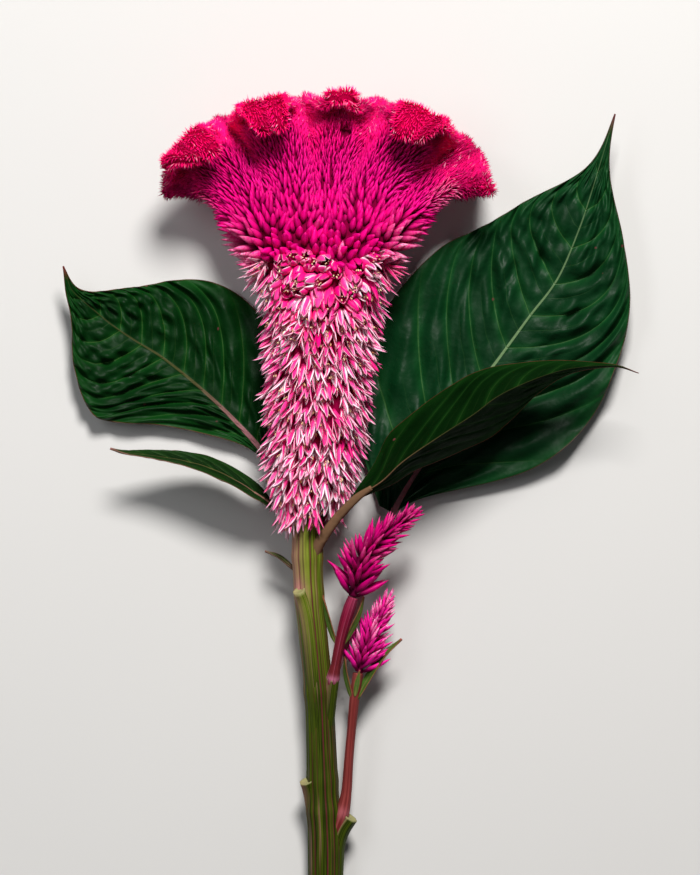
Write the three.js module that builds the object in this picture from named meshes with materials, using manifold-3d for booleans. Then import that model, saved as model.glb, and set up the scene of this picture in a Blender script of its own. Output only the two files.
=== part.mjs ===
// A cut stem of cockscomb celosia, lying on its back on a flat surface.
// Millimetres. +Z is up, away from the surface, and +Y runs from the cut end of the stem to the crest.
// The origin is on the surface, under the middle of the plant.

import * as THREE from "three";
import { mergeVertices } from "three/addons/utils/BufferGeometryUtils.js";
import Module from "manifold-3d";

const wasm = await Module();
wasm.setup();
const { Manifold, Mesh: SolidMesh } = wasm;

// ---------------------------------------------------------------------------
// Driving dimensions
// ---------------------------------------------------------------------------

const GAP = 0.3; // clearance between two pieces that meet
const STAGE_GAP = 0.003; // the same clearance between the parts of the head, as a share of one part
const FULL_TURN = 2 * Math.PI;
const degrees = THREE.MathUtils.degToRad;

// Stem: its centre line from the head down to the cut end, as x, y, z, and the radius there.
const STEM_LINE = [
  { at: [-15.6, 0.8, 23.2], radius: 5.5 },
  { at: [-15.9, -8.4, 22.3], radius: 5.5 },
  { at: [-15.7, -20.6, 21.0], radius: 5.3 },
  { at: [-15.1, -31.7, 19.8], radius: 5.2 },
  { at: [-13.6, -47.0, 18.1], radius: 5.2 },
  { at: [-11.7, -68.0, 15.8], radius: 5.3 },
  { at: [-10.9, -87.0, 13.7], radius: 5.6 },
  { at: [-10.3, -104.0, 12.0], radius: 6.0 },
  { at: [-9.5, -121.7, 10.1], radius: 6.2 },
  { at: [-9.4, -134.8, 8.7], radius: 6.1 },
  { at: [-9.8, -158.8, 6.0], radius: 6.3 },
];
const STEM_RIBS = 10;
const RIB_HEIGHT = 0.3;
const STEM_STEPS = 22;

// Stubs that two cut leaves left on the stem, and the swollen nodes under the side shoots.
const STUBS = [
  { from: [-17.6, -34.5, 21.0], to: [-20.4, -28.4, 22.4], radius: [2.9, 1.9] },
  { from: [-12.8, -105.2, 13.2], to: [-18.3, -99.6, 14.8], radius: [4.0, 1.9] },
  { from: [-9.0, -119.5, 10.6], to: [-1.9, -113.4, 12.4], radius: [5.2, 2.8] },
  { from: [-11.8, -70.6, 16.0], to: [-7.6, -63.6, 18.0], radius: [4.4, 2.8] },
];

// Head: a spike of florets that opens into a flat fan, whose edge rolls over in folds.
const SPIKE_BASE = new THREE.Vector3(-15.6, 1.2, 23.2);
const FAN_FOOT = new THREE.Vector3(-10.5, 95.1, 25.2);
const SPIKE_HALF_WIDTHS = [8, 13.2, 15.2, 16.3, 17.1, 17.5, 17.7, 18.4, 21.5]; // base to top
const SPIKE_HALF_DEPTH = { base: 6.6, top: 13.2 };
const FAN_SPREAD = degrees(35); // how far the fan's sides lean outwards where they leave the spike
const FAN_HALF_DEPTH = 3.2; // half the fan's thickness at the foot of the crest

// Outline of the crest seen from the front: half an ellipse through the tips of its bristles.
const RIM = { x: -8.6, y: 120.5, halfWidth: 66, height: 40 };
const CREST_HALF_THICKNESS = 2.2;
const ROLL_LENGTH = { straight: 14, folded: 28 }; // how much of the sheet rolls over at the crest
const ROLL_FORWARD = degrees(200);
const ROLL_BACK = degrees(112);
const FOLD_DEPTH = { forward: 5, back: 6.4 }; // how far the fan itself waves below the crest

// Folds of the crest from its left end, -1, to its right end, 1. Lean 1 rolls up and forwards, -1 back.
const FOLDS = [
  { across: -1.0, lean: -0.2 },
  { across: -0.66, lean: 1.0 },
  { across: -0.59, lean: 1.0 },
  { across: -0.44, lean: -1.0 },
  { across: -0.3, lean: 1.0 },
  { across: -0.21, lean: 1.0 },
  { across: -0.09, lean: -0.9 },
  { across: 0.02, lean: 0.55 },
  { across: 0.09, lean: 0.55 },
  { across: 0.2, lean: -0.9 },
  { across: 0.34, lean: 1.0 },
  { across: 0.45, lean: 1.0 },
  { across: 0.63, lean: -1.0 },
  { across: 1.0, lean: 0.35 },
];

// Florets, buds and bristles: their length and their lean, from straight out, 0, to along the head
// towards the crest, 90, at the foot and at the top of their part; then their rows and columns.
const FLORET_LENGTH = { foot: 8.8, top: 10.8 };
const FLORET_LEAN = { foot: -66, top: -6 };
const BUD_LENGTH = { foot: 8.6, top: 5.2 };
const BUD_LEAN = { foot: 4, top: 62 };
const CREST_BRISTLE = 2.8;
const BRISTLE_LEAN = { foot: 60, top: 35 };
const LEAN_SCATTER = 12;
const LENGTH_SCATTER = 0.2; // the same scatter sideways, as shares of the length
const CUT_SHORT = [1, 0.6, 0.3, 0.05, 0.01]; // lengths to try where a floret would touch a neighbour
const SPIKE_COLUMNS = 30;
const SPIKE_ROWS = 24;
const FAN_COLUMNS = 56;
const FAN_ROWS = 12;
const CREST_ROWS = 6;
const CREST_SEAM = 3; // bristles of the crest over each bud of the fan's last row

// Leaves. Each midrib runs from the stem to the tip; stalk is the share of it that carries no blade.
// face is the way the upper side looks. A margin gives the width of one half at even steps from the
// blade's base to its tip; lift tilts that half up, and lobe is how far its base reaches back.
// Columns are the shares of the half width at which the blade bends, and quilt is how high it bulges
// between its side veins. ribRadius is the midrib's radius at the blade's base and at its tip.
const BLADE_THICKNESS = 0.8;
const RIB_RISE = 0.4; // how far the midrib stands above the blade, as a share of its radius
const RIB_SPREAD = 1.3; // half the midrib's width, as a share of its radius
const STALK_OVERLAP = 0.05; // how far the round stalk runs on inside the midrib, as a share of the leaf
const BLADE_DROOP = 0.0022; // how far a blade sags below its midrib, per square of the width
const VEIN_SWEEP = 0.62; // how far the side veins run on towards the tip, as a share of the blade
const LEAVES = {
  left_leaf: {
    midrib: [
      [-18.4, -9.0, 21.0], [-22.8, -0.8, 14.0], [-27.4, 10.4, 9.0], [-31.5, 21.6, 6.6], [-43.2, 35.4, 5.2],
      [-58.5, 49.7, 5.2], [-72.0, 60.3, 6.0], [-80.4, 65.4, 7.0], [-89.7, 71.7, 8.6], [-97.5, 78.2, 10.4],
      [-104.4, 84.6, 12.4], [-107.8, 93.6, 14.6],
    ],
    stalk: 0.235,
    face: [-0.06, 0.02, 1],
    right: { margin: [2, 20, 31, 35.6, 35.3, 27.6, 16.4, 4, 0.3], lift: 1, lobe: 0 },
    left: { margin: [2, 5.2, 12.6, 20.4, 28.8, 32.2, 21, 5.4, 0.3], lift: 8, lobe: 0 },
    columns: [0.36, 0.7, 1],
    veins: 9,
    quilt: 1.9,
    ribRadius: [1.75, 0.35],
  },
  right_leaf: {
    midrib: [
      [-8.6, -62.6, 17.0], [-5.6, -58.6, 15.8], [3.6, -31.4, 12.2], [10.4, -12.6, 9.0], [17.0, 2.4, 6.6],
      [24.1, 14.6, 5.6], [41.2, 39.4, 5.6], [55.0, 57.6, 6.8], [67.8, 75.1, 8.6], [77.9, 88.6, 10.6],
      [86.6, 108.8, 13.6], [91.4, 123.6, 15.4], [95.4, 137.0, 16.8], [99.5, 150.7, 18.0],
    ],
    stalk: 0.285,
    face: [-0.02, 0, 1],
    right: { margin: [3, 18.8, 35, 41.5, 40, 31, 17.2, 4.6, 0.3], lift: 7, lobe: 0 },
    left: { margin: [11, 33, 42.5, 45.6, 43.4, 35.8, 23.6, 4.4, 0.3], lift: 1, lobe: 0.03 },
    columns: [0.36, 0.7, 1],
    veins: 9,
    quilt: 2.1,
    ribRadius: [1.6, 0.35],
  },
  front_leaf: {
    midrib: [
      [-12.6, -11.6, 25.0], [-9.6, -7.4, 27.6], [-4.6, -0.6, 31.0], [2.6, 6.8, 35.6], [12.0, 13.0, 39.6],
      [19.4, 20.0, 42.2], [32.9, 29.4, 45.0], [46.3, 38.1, 46.0], [54.4, 44.2, 45.6], [65.1, 49.5, 44.2],
      [78.8, 54.2, 41.6], [91.9, 55.9, 38.6], [100.1, 55.7, 37.0], [107.6, 53.2, 36.2],
    ],
    stalk: 0.205,
    face: [0, 0.05, 1],
    right: { margin: [4.6, 11, 17, 21.5, 23.3, 14.8, 5, 1.8, 0.3], lift: -64, lobe: 0 },
    left: { margin: [14, 23, 26.4, 28.3, 24.5, 17, 8, 2.3, 0.3], lift: -58, lobe: 0 },
    columns: [0.36, 0.7, 1],
    veins: 7,
    quilt: 1.2,
    ribRadius: [1.9, 0.35],
  },
  narrow_leaf: {
    midrib: [
      [-18.2, -5.6, 22.0], [-25.4, 1.0, 20.0], [-31.5, 5.4, 19.4], [-42.4, 12.6, 20.2], [-51.8, 17.2, 21.4],
      [-61.9, 20.2, 22.4], [-74.5, 22.3, 23.4], [-84.6, 23.6, 24.4], [-89.7, 25.2, 25.2],
    ],
    stalk: 0.17,
    face: [0.25, 0.94, 0.24],
    right: { margin: [3, 8.4, 9.8, 10.4, 9.8, 8, 5.6, 3, 0.3], lift: 12, lobe: 0 },
    left: { margin: [2.6, 7, 8.6, 9, 7.6, 5.6, 3.6, 2, 0.3], lift: 0, lobe: 0 },
    columns: [0.5, 1],
    veins: 5,
    quilt: 0.8,
    ribRadius: [1.3, 0.3],
  },
  small_leaf: {
    midrib: [[-17.0, -23.0, 17.4], [-21.8, -19.4, 16.6], [-26.6, -15.6, 16.4], [-31.9, -13.4, 16.8]],
    stalk: 0.25,
    face: [0.3, 0.5, 0.8],
    right: { margin: [0.5, 1.3, 1.7, 1.2, 0.3], lift: 14, lobe: 0 },
    left: { margin: [0.5, 1.3, 1.7, 1.2, 0.3], lift: 14, lobe: 0 },
    columns: [1],
    veins: 2,
    quilt: 0,
    ribRadius: [0.8, 0.3],
  },
};

// Side shoots: a stalk with narrow leaves, and a small spike of buds on its top. spike is the centre
// line of the small spike, with its radius at even steps along it.
const STALK_RIB_HEIGHT = 0.14;
const NARROW_LEAF_OUTLINE = [0.6, 0.9, 1, 0.7, 0.2]; // shares of its half width, from base to tip
const SHOOTS = {
  upper_shoot: {
    stalk: [
      [-8.2, -66.0, 18.8], [-5.8, -60.4, 20.8], [-4.2, -52.0, 22.2], [-2.4, -42.6, 23.6], [-0.2, -34.4, 24.6],
      [1.2, -30.6, 25.0],
    ],
    stalkRadius: [1.9, 2.5],
    ribs: 6,
    leaves: [
      {
        midrib: [[-5.0, -48.0, 21.4], [-6.5, -43.4, 21.0], [-7.9, -37.4, 21.4], [-9.9, -30.0, 22.6]],
        face: [-0.75, 0.3, 0.6],
        width: 1.9,
      },
      {
        midrib: [[-5.4, -58.0, 22.2], [-3.8, -52.0, 24.2], [-2.9, -46.0, 25.2], [-2.6, -40.0, 26.2]],
        face: [0.1, -0.2, 1],
        width: 1.5,
      },
    ],
    spike: [[0.9, -30.15, 25.0], [5.4, -15.6, 26.6], [22.4, 0.4, 28.0]],
    spikeRadius: [2.8, 4.2, 3.6, 2.2, 0.7],
    bud: { columns: 9, rows: 12, length: [10.5, 5.0], lean: [36, 66] },
  },
  lower_shoot: {
    stalk: [
      [-4.6, -115.4, 12.4], [-2.6, -110.8, 13.4], [-1.1, -99.2, 14.0], [0.6, -84.2, 14.6], [1.6, -69.4, 15.2],
      [3.0, -59.2, 15.6],
    ],
    stalkRadius: [2.0, 1.8],
    ribs: 6,
    leaves: [
      {
        midrib: [[2.6, -66.6, 15.6], [6.6, -60.8, 15.4], [12.2, -52.6, 16.0], [18.9, -47.2, 17.2]],
        face: [-0.5, 0.6, 0.6],
        width: 2.2,
      },
      {
        midrib: [[1.6, -67.4, 15.4], [-0.2, -62.4, 15.0], [-0.9, -58.4, 15.2], [-0.8, -54.0, 16.0]],
        face: [-0.8, 0.1, 0.6],
        width: 1.5,
      },
    ],
    spike: [[3.15, -58.75, 15.6], [7.2, -46.8, 16.6], [13.6, -32.6, 17.6]],
    spikeRadius: [2.2, 3.2, 2.8, 1.8, 0.6],
    bud: { columns: 8, rows: 10, length: [7.6, 3.8], lean: [38, 68] },
  },
};

const COLOURS = {
  stem: { color: 0x6f8234, roughness: 0.55 },
  leaf: { color: 0x0f4a1c, roughness: 0.45 },
  shootStalk: { color: 0x9b3f52, roughness: 0.5 },
  floret: { color: 0xe97fae, roughness: 0.55 },
  bud: { color: 0xd6077d, roughness: 0.45 },
  crest: { color: 0xd8104a, roughness: 0.75 },
};

// ---------------------------------------------------------------------------
// Small tools
// ---------------------------------------------------------------------------

const vector = (p) => new THREE.Vector3(...p);
const clamp01 = (x) => Math.min(1, Math.max(0, x));
const ease = (x) => clamp01(x) ** 2 * (3 - 2 * clamp01(x));
const mix = THREE.MathUtils.lerp;
const smoothLine = (points) => new THREE.CatmullRomCurve3(points.map(vector), false, "centripetal");

/** A value between the entries of a list set at even steps from 0 to 1, along a smooth curve. */
function alongList(list, share) {
  const last = list.length - 1;
  const place = clamp01(share) * last;
  const i = Math.min(last - 1, Math.floor(place));
  const f = place - i;
  const [a, b, c, d] = [i - 1, i, i + 1, i + 2].map((k) => list[Math.min(last, Math.max(0, k))]);
  return b + 0.5 * f * (c - a + f * (2 * a - 5 * b + 4 * c - d + f * (3 * (b - c) + d - a)));
}

/** A repeatable source of random numbers from 0 to 1. */
function seededRandom(seed) {
  let state = seed;
  return () => {
    state = (state + 0x6d2b79f5) | 0;
    let bits = Math.imul(state ^ (state >>> 15), 1 | state);
    bits = (bits + Math.imul(bits ^ (bits >>> 7), 61 | bits)) ^ bits;
    return ((bits ^ (bits >>> 14)) >>> 0) / 4294967296;
  };
}

/** A solid from its corner points and its triangles, turned to face outwards. */
function solidFrom(points, triangles) {
  const vertProperties = new Float32Array(points.flatMap((p) => p.toArray()));
  const made = new Manifold(
    new SolidMesh({ numProp: 3, vertProperties, triVerts: new Uint32Array(triangles.flat()) }),
  );
  if (made.volume() > 0) return made;
  const turned = triangles.map(([a, b, c]) => [a, c, b]);
  return new Manifold(
    new SolidMesh({ numProp: 3, vertProperties, triVerts: new Uint32Array(turned.flat()) }),
  );
}

/**
 * A solid through a stack of rings of equal length. The second half of each ring is the back of the
 * first half in reverse, so both ends close with a strip between the halves, and the back's squares
 * are split along the same diagonals as the front's.
 */
function loft(rings, sharedEnds = true) {
  const count = rings[0].length;
  const partner = (i) => (sharedEnds ? (count - i) % count : count - 1 - i);
  const triangles = [];
  for (let r = 0; r + 1 < rings.length; r++) {
    for (let i = 0; i < count; i++) {
      const next = (i + 1) % count;
      const [a, b] = [r * count + i, r * count + next];
      const [c, d] = [a + count, b + count];
      if (i < count / 2) triangles.push([a, b, d], [a, d, c]);
      else triangles.push([a, b, c], [b, d, c]);
    }
  }
  const closeEnd = (first, turned) => {
    const last = sharedEnds ? count / 2 : count / 2 - 1;
    for (let i = 0; i < last; i++) {
      const [a, b, c, d] = [i, i + 1, partner(i + 1), partner(i)].map((k) => first + k);
      for (const t of [[a, b, c], [a, c, d]]) {
        if (new Set(t).size === 3) triangles.push(turned ? [t[0], t[2], t[1]] : t);
      }
    }
  };
  closeEnd(0, true);
  closeEnd((rings.length - 1) * count, false);
  return solidFrom(rings.flat(), triangles);
}

/** Position, direction and two cross directions along a curve; up fixes how the cross directions turn. */
function frameAt(curve, share, up) {
  const at = curve.getPointAt(share);
  const along = curve.getTangentAt(share);
  const above = up.clone().addScaledVector(along, -up.dot(along)).normalize();
  const side = along.clone().cross(above);
  return { at, along, above, side };
}

/** A rod along a curve, up to a share of it. radiusAt takes the share of the rod, and the angle. */
function rod(curve, radiusAt, sides, steps, until = 1, up = new THREE.Vector3(0, 0, 1)) {
  const rings = [];
  for (let r = 0; r <= steps; r++) {
    const { at, above, side } = frameAt(curve, (until * r) / steps, up);
    const ring = [];
    for (let i = 0; i < sides; i++) {
      const angle = (i / sides) * FULL_TURN;
      const radius = radiusAt(r / steps, angle);
      const point = at.clone().addScaledVector(side, radius * Math.cos(angle));
      ring.push(point.addScaledVector(above, radius * Math.sin(angle)));
    }
    rings.push(ring);
  }
  return loft(rings);
}

/**
 * Closes one end of a stack of rings with a strip between its front half and its back half. With a
 * seam above 1 the strip is plain between every so many points, as on a ring with fewer points.
 */
function endStrip(first, count, turned, seam = 1) {
  const front = (i) => first + i;
  const back = (i) => first + ((count - i) % count);
  const triangles = [];
  for (let i = 0; i < count / 2; i += seam) {
    for (let j = 0; j < seam; j++) {
      triangles.push([front(i + j), front(i + j + 1), back(i + seam)]);
      triangles.push([front(i), back(i + j + 1), back(i + j)]);
    }
  }
  const whole = triangles.filter((t) => new Set(t).size === 3);
  return whole.map(([p, q, r]) => (turned ? [p, r, q] : [p, q, r]));
}

/**
 * A solid set all over with pointed florets. Its surface is a lattice of staggered cells between
 * rings, and every cell rises to the tip of one floret, so that the florets stand edge to edge.
 * surface(around, stage) gives a point, with around from 0 to 1, and tip(around, stage, point) the
 * floret's reach from the middle of its cell. Florets that would touch a solid to keep clear of are
 * made shorter. With a seam above 1, the first ring is straight between every so many points.
 */
function furredSolid({ surface, tip, stages, columns, clearOf = [], seam = 1 }) {
  const rows = stages.length - 1;
  const aroundOf = (r, i) => ((i + (r % 2) / 2) / columns) % 1;
  const rings = stages.map((stage, r) =>
    Array.from({ length: columns }, (_, i) => surface(aroundOf(r, i), stage)),
  );
  rings[0] = rings[0].map((point, i) => {
    const before = rings[0][i - (i % seam)];
    const after = rings[0][(i - (i % seam) + seam) % columns];
    return i % seam ? before.clone().lerp(after, (i % seam) / seam) : point;
  });
  const points = rings.flat();
  const triangles = [...endStrip(0, columns, true, seam), ...endStrip(rows * columns, columns, false)];
  for (let r = 0; r < rows; r++) {
    for (let i = 0; i < columns; i++) {
      const shift = r % 2;
      const cell = [
        r * columns + i,
        r * columns + ((i + 1) % columns),
        (r + 1) * columns + ((i + 1 + shift) % columns),
        (r + 1) * columns + ((i + shift) % columns),
      ];
      const corners = cell.map((k) => points[k]);
      const middle = corners.reduce((sum, q) => sum.add(q), new THREE.Vector3()).multiplyScalar(1 / 4);
      const around = ((i + (shift ? 1.25 : 0.75)) / columns) % 1;
      const reach = tip(around, mix(stages[r], stages[r + 1], 0.5));
      const sides = [[0, 1, 4], [1, 2, 4], [2, 3, 4], [3, 0, 4]];
      const touches = (share) => {
        const outline = [...corners, middle.clone().addScaledVector(reach, share * 1.1)];
        const floret = solidFrom([...outline, middle.clone().addScaledVector(reach, -0.1)], [
          ...sides,
          ...sides.map(([p, q]) => [q, p, 5]),
        ]);
        return clearOf.some((other) => other.intersect(floret).volume() > 1e-4);
      };
      const share = CUT_SHORT.find((k) => !clearOf.length || !touches(k)) ?? CUT_SHORT.at(-1);
      const top = points.push(middle.addScaledVector(reach, share)) - 1;
      sides.forEach(([p, q]) => triangles.push([cell[p], cell[q], top]));
    }
  }
  return solidFrom(points, triangles);
}

// ---------------------------------------------------------------------------
// Stem
// ---------------------------------------------------------------------------

const stemCurve = smoothLine(STEM_LINE.map((s) => s.at));

/** Radius of the stem at a share of its length, between the stated radii. */
function stemRadius(share) {
  const place = share * (STEM_LINE.length - 1);
  const below = Math.min(STEM_LINE.length - 2, Math.floor(place));
  return mix(STEM_LINE[below].radius, STEM_LINE[below + 1].radius, place - below);
}

/** The ribbed stem with its stubs, grown outwards by a clearance where another piece is cut by it. */
function stemSolid(grown = 0) {
  const trunk = rod(
    stemCurve,
    (share, angle) => stemRadius(share) + grown + RIB_HEIGHT * Math.cos(STEM_RIBS * angle),
    2 * STEM_RIBS,
    STEM_STEPS,
  );
  const stubs = STUBS.map(({ from, to, radius }) =>
    rod(smoothLine([from, to]), (share) => mix(radius[0], radius[1], share) + grown, 8, 1),
  );
  return Manifold.union([trunk, ...stubs]);
}

// ---------------------------------------------------------------------------
// Leaves
// ---------------------------------------------------------------------------

/** The height of a blade over its midrib: its bulge, which dies away at the margin, and its droop. */
function bladeHeight(bulge, out, width) {
  const swell = Math.min(1, 3 * out) * (1 - 0.75 * out) * clamp01(width / 8);
  return bulge * swell - BLADE_DROOP * width ** 2;
}

/**
 * A leaf as one solid. Rows of the blade follow its side veins, which sweep towards the tip, and the
 * blade bulges between them. The midrib is a ridge along the middle, which goes on as a round stalk.
 */
function leafSolid({ midrib, stalk, face, right, left, columns, veins, quilt, ribRadius }) {
  const curve = smoothLine(midrib);
  const up = vector(face).normalize();
  const rows = 2 * veins + 1;
  const rings = [];
  for (let r = 0; r <= rows; r++) {
    const row = r / rows;
    const rib = mix(ribRadius[0], ribRadius[1], row);
    const bulge = quilt * (r % 2 ? 0.5 : -0.5);
    const middle = frameAt(curve, mix(stalk, 1, row), up);
    const upper = [middle.at.clone().addScaledVector(middle.above, RIB_RISE * rib)];
    const lower = [middle.at.clone().addScaledVector(middle.above, -rib)];
    for (const [half, sign] of [[right, 1], [left, -1]]) {
      const ribShare = (RIB_SPREAD * rib) / Math.max(4 * rib, alongList(half.margin, row));
      const outs = columns.length > 1 ? [ribShare, ...columns] : columns;
      for (const out of outs) {
        const swept = VEIN_SWEEP * out ** 1.2 * row * (1 - row) * (1 - 0.5 * row);
        const share = row + swept - half.lobe * out * (1 - row) ** 6;
        const { at, above, side } = frameAt(curve, mix(stalk, 1, Math.min(1, share)), up);
        const width = Math.max(half.margin.at(-1), alongList(half.margin, share)) * out;
        const lift = degrees(half.lift);
        const place = at.clone()
          .addScaledVector(side, sign * width * Math.cos(lift))
          .addScaledVector(above, width * Math.sin(lift) + bladeHeight(bulge, out, width));
        const offset = BLADE_THICKNESS / 2 / Math.cos(lift);
        const pair = [offset, -offset].map((h) => place.clone().addScaledVector(above, h));
        if (sign > 0) {
          upper.push(pair[0]);
          lower.push(pair[1]);
        } else {
          upper.unshift(pair[0]);
          lower.unshift(pair[1]);
        }
      }
    }
    rings.push([...upper, ...lower.reverse()]);
  }
  const blade = loft(rings, false);
  if (!stalk) return blade;
  const stalkRadius = (share) => ribRadius[0] * (share < 1 ? 1 : 0.5);
  return blade.add(rod(curve, stalkRadius, 6, 8, stalk + STALK_OVERLAP, up));
}

/** A narrow leaf of a side shoot: a plain pointed blade that grows straight from the stalk. */
function narrowLeaf({ midrib, face, width }) {
  const half = { margin: NARROW_LEAF_OUTLINE.map((share) => share * width), lift: 14, lobe: 0 };
  const blade = { columns: [1], veins: 2, quilt: 0, ribRadius: [0.8, 0.4] };
  return leafSolid({ midrib, stalk: 0, face, right: half, left: half, ...blade });
}

// ---------------------------------------------------------------------------
// Head
// ---------------------------------------------------------------------------
// The head has two coordinates. Across runs from its left side, -1, to its right side, 1. Stage runs
// from the foot of the spike, 0, to the foot of the fan, 1, of the crest, 2, and to the crest's edge, 3.

/** Lean of the crest, -1 back to 1 forwards, eased from fold to fold. */
function leanAt(across) {
  const next = FOLDS.findIndex((f, i) => i > 0 && across <= f.across);
  const b = FOLDS[next < 0 ? FOLDS.length - 1 : next];
  const a = FOLDS[FOLDS.indexOf(b) - 1];
  return mix(a.lean, b.lean, ease((across - a.across) / (b.across - a.across)));
}

/** The middle sheet of the spike: flat, with the spike's outline. */
function spikeSheet(across, stage) {
  const rise = Math.sin((Math.PI / 2) * stage);
  return new THREE.Vector3(
    mix(SPIKE_BASE.x, FAN_FOOT.x, rise) + alongList(SPIKE_HALF_WIDTHS, stage) * across,
    mix(SPIKE_BASE.y, FAN_FOOT.y, stage),
    mix(SPIKE_BASE.z, FAN_FOOT.z, rise),
  );
}

/** The middle sheet from the fan's foot to the crest's edge, where it rolls over forwards or back. */
function fanSheet(across, stage) {
  const lean = leanAt(across);
  const roll = Math.abs(lean) * (lean > 0 ? ROLL_FORWARD : ROLL_BACK) + 1e-3;
  const radius = mix(ROLL_LENGTH.straight, ROLL_LENGTH.folded, Math.abs(lean)) / roll;
  const reach = radius * Math.sin(Math.min(roll, Math.PI / 2)) + CREST_HALF_THICKNESS + CREST_BRISTLE;
  const angle = (Math.PI / 2) * (1 - across);
  const outwards = new THREE.Vector3(Math.cos(angle), Math.sin(angle), 0);
  const crestFoot = new THREE.Vector3(
    RIM.x + RIM.halfWidth * outwards.x - reach * outwards.x,
    RIM.y + RIM.height * outwards.y - reach * outwards.y,
    FAN_FOOT.z,
  );
  const wave = lean * (lean > 0 ? FOLD_DEPTH.forward : FOLD_DEPTH.back);
  if (stage > 2) {
    const turned = roll * (stage - 2);
    const height = wave + Math.sign(lean) * radius * (1 - Math.cos(turned));
    return crestFoot.addScaledVector(outwards, radius * Math.sin(turned)).setZ(FAN_FOOT.z + height);
  }
  const q = stage - 1;
  const start = FAN_FOOT.clone().setX(FAN_FOOT.x + SPIKE_HALF_WIDTHS.at(-1) * across);
  const spread = FAN_SPREAD * across;
  const bend = new THREE.Vector3(Math.sin(spread), Math.cos(spread), 0)
    .multiplyScalar(0.5 * start.distanceTo(crestFoot))
    .add(start);
  return start.multiplyScalar((1 - q) ** 2)
    .addScaledVector(bend, 2 * q * (1 - q))
    .addScaledVector(crestFoot, q * q)
    .setZ(FAN_FOOT.z + wave * q ** 2.2);
}

const middleSheet = (across, stage) => (stage <= 1 ? spikeSheet(across, stage) : fanSheet(across, stage));

/** The middle sheet's normal towards the front, averaged over a stretch so that folds stay clean. */
function sheetNormal(across, stage) {
  const reach = mix(0.002, 0.035, ease(stage - 1));
  const climb = mix(0.002, 0.08, ease(stage - 1));
  const sideways = middleSheet(Math.min(1, across + reach), stage)
    .sub(middleSheet(Math.max(-1, across - reach), stage));
  const along = middleSheet(across, Math.min(3, stage + climb))
    .sub(middleSheet(across, Math.max(0, stage - climb)));
  return sideways.cross(along).normalize();
}

/** Half the depth of the core at its middle. */
function coreHalfDepth(stage) {
  const { base, top } = SPIKE_HALF_DEPTH;
  if (stage <= 1) return mix(base, top, Math.sin((Math.PI / 2) * stage ** 0.6));
  if (stage <= 2) return mix(top, FAN_HALF_DEPTH, ease(0.12 + 0.88 * (stage - 1)) ** 0.8);
  return mix(FAN_HALF_DEPTH, CREST_HALF_THICKNESS, ease((stage - 2) * 1.6));
}

/**
 * A point on the head's core. around runs once round the core: 0 to 1 along the front from left to
 * right, and 1 to 2 back along the rear.
 */
function corePoint(around, stage) {
  const front = around <= 1;
  const k = front ? 2 * around - 1 : 3 - 2 * around;
  const across = mix(k, Math.sin((k * Math.PI) / 2), mix(1, 0.15, ease(1.6 * (stage - 1))));
  const roundness = mix(2, 7, ease(stage - 1));
  const section = Math.max(0, 1 - Math.abs(across) ** roundness) ** (1 / roundness);
  const depth = coreHalfDepth(stage) * section * (front ? 1 : -1);
  return middleSheet(across, stage).addScaledVector(sheetNormal(across, stage), depth);
}

/** Outward direction and growth direction of the core's surface. */
function coreDirections(around, stage) {
  const step = 6e-3;
  const wrap = (a) => (a + 2) % 2;
  const ringwise = corePoint(wrap(around + step), stage).sub(corePoint(wrap(around - step), stage));
  const growth = corePoint(around, stage + step)
    .sub(corePoint(around, Math.max(0, stage - step)))
    .normalize();
  return { outward: ringwise.cross(growth).normalize(), growth };
}

/** Reach of a floret from the core. */
function floretReach(around, stage, length, lean, random) {
  const { outward, growth } = coreDirections(around, stage);
  const turned = degrees(lean + LEAN_SCATTER * (random() - 0.5));
  return outward.clone()
    .multiplyScalar(Math.cos(turned))
    .addScaledVector(growth, Math.sin(turned))
    .addScaledVector(outward.clone().cross(growth), LENGTH_SCATTER * (random() - 0.5))
    .multiplyScalar(length * (1 + LENGTH_SCATTER * (random() - 0.5)));
}

const headSurface = (around, stage) => corePoint(2 * around, stage);
const between = ({ foot, top }, share) => mix(foot, top, share);
const evenSteps = (first, last, count) =>
  Array.from({ length: count + 1 }, (_, i) => mix(first, last, i / count));

function spikeSolid(neighbours) {
  const random = seededRandom(11);
  return furredSolid({
    surface: headSurface,
    tip: (around, stage) => {
      const length = between(FLORET_LENGTH, stage) * (stage < 0.02 ? 0.5 : 1);
      return floretReach(2 * around, stage, length, between(FLORET_LEAN, stage ** 2.2), random);
    },
    stages: evenSteps(0, 1 - STAGE_GAP, SPIKE_ROWS).map((t) => t ** 1.1),
    columns: SPIKE_COLUMNS,
    clearOf: neighbours,
  });
}

function fanSolid(neighbours) {
  const random = seededRandom(23);
  return furredSolid({
    surface: headSurface,
    tip: (around, stage) => {
      const lean = between(BUD_LEAN, ease((stage - 1) * 1.25));
      return floretReach(2 * around, stage, between(BUD_LENGTH, stage - 1), lean, random);
    },
    stages: evenSteps(1 + STAGE_GAP, 2 - STAGE_GAP, FAN_ROWS),
    columns: FAN_COLUMNS,
    clearOf: neighbours,
  });
}

/** The crest: the rolled edge of the fan, furred with bristles. Without bristles it is the bare sheet. */
function crestSolid(neighbours, bristles = 1) {
  const random = seededRandom(37);
  return furredSolid({
    surface: headSurface,
    tip: (around, stage) => {
      const share = ease((stage - 2) * 3);
      const length = bristles * mix(BUD_LENGTH.top, CREST_BRISTLE, share);
      return floretReach(2 * around, stage, length, between(BRISTLE_LEAN, share), random);
    },
    stages: evenSteps(2 + 2 * STAGE_GAP, 3, CREST_ROWS),
    columns: CREST_SEAM * FAN_COLUMNS,
    seam: CREST_SEAM,
    clearOf: neighbours,
  });
}

// ---------------------------------------------------------------------------
// Side shoots
// ---------------------------------------------------------------------------

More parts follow.
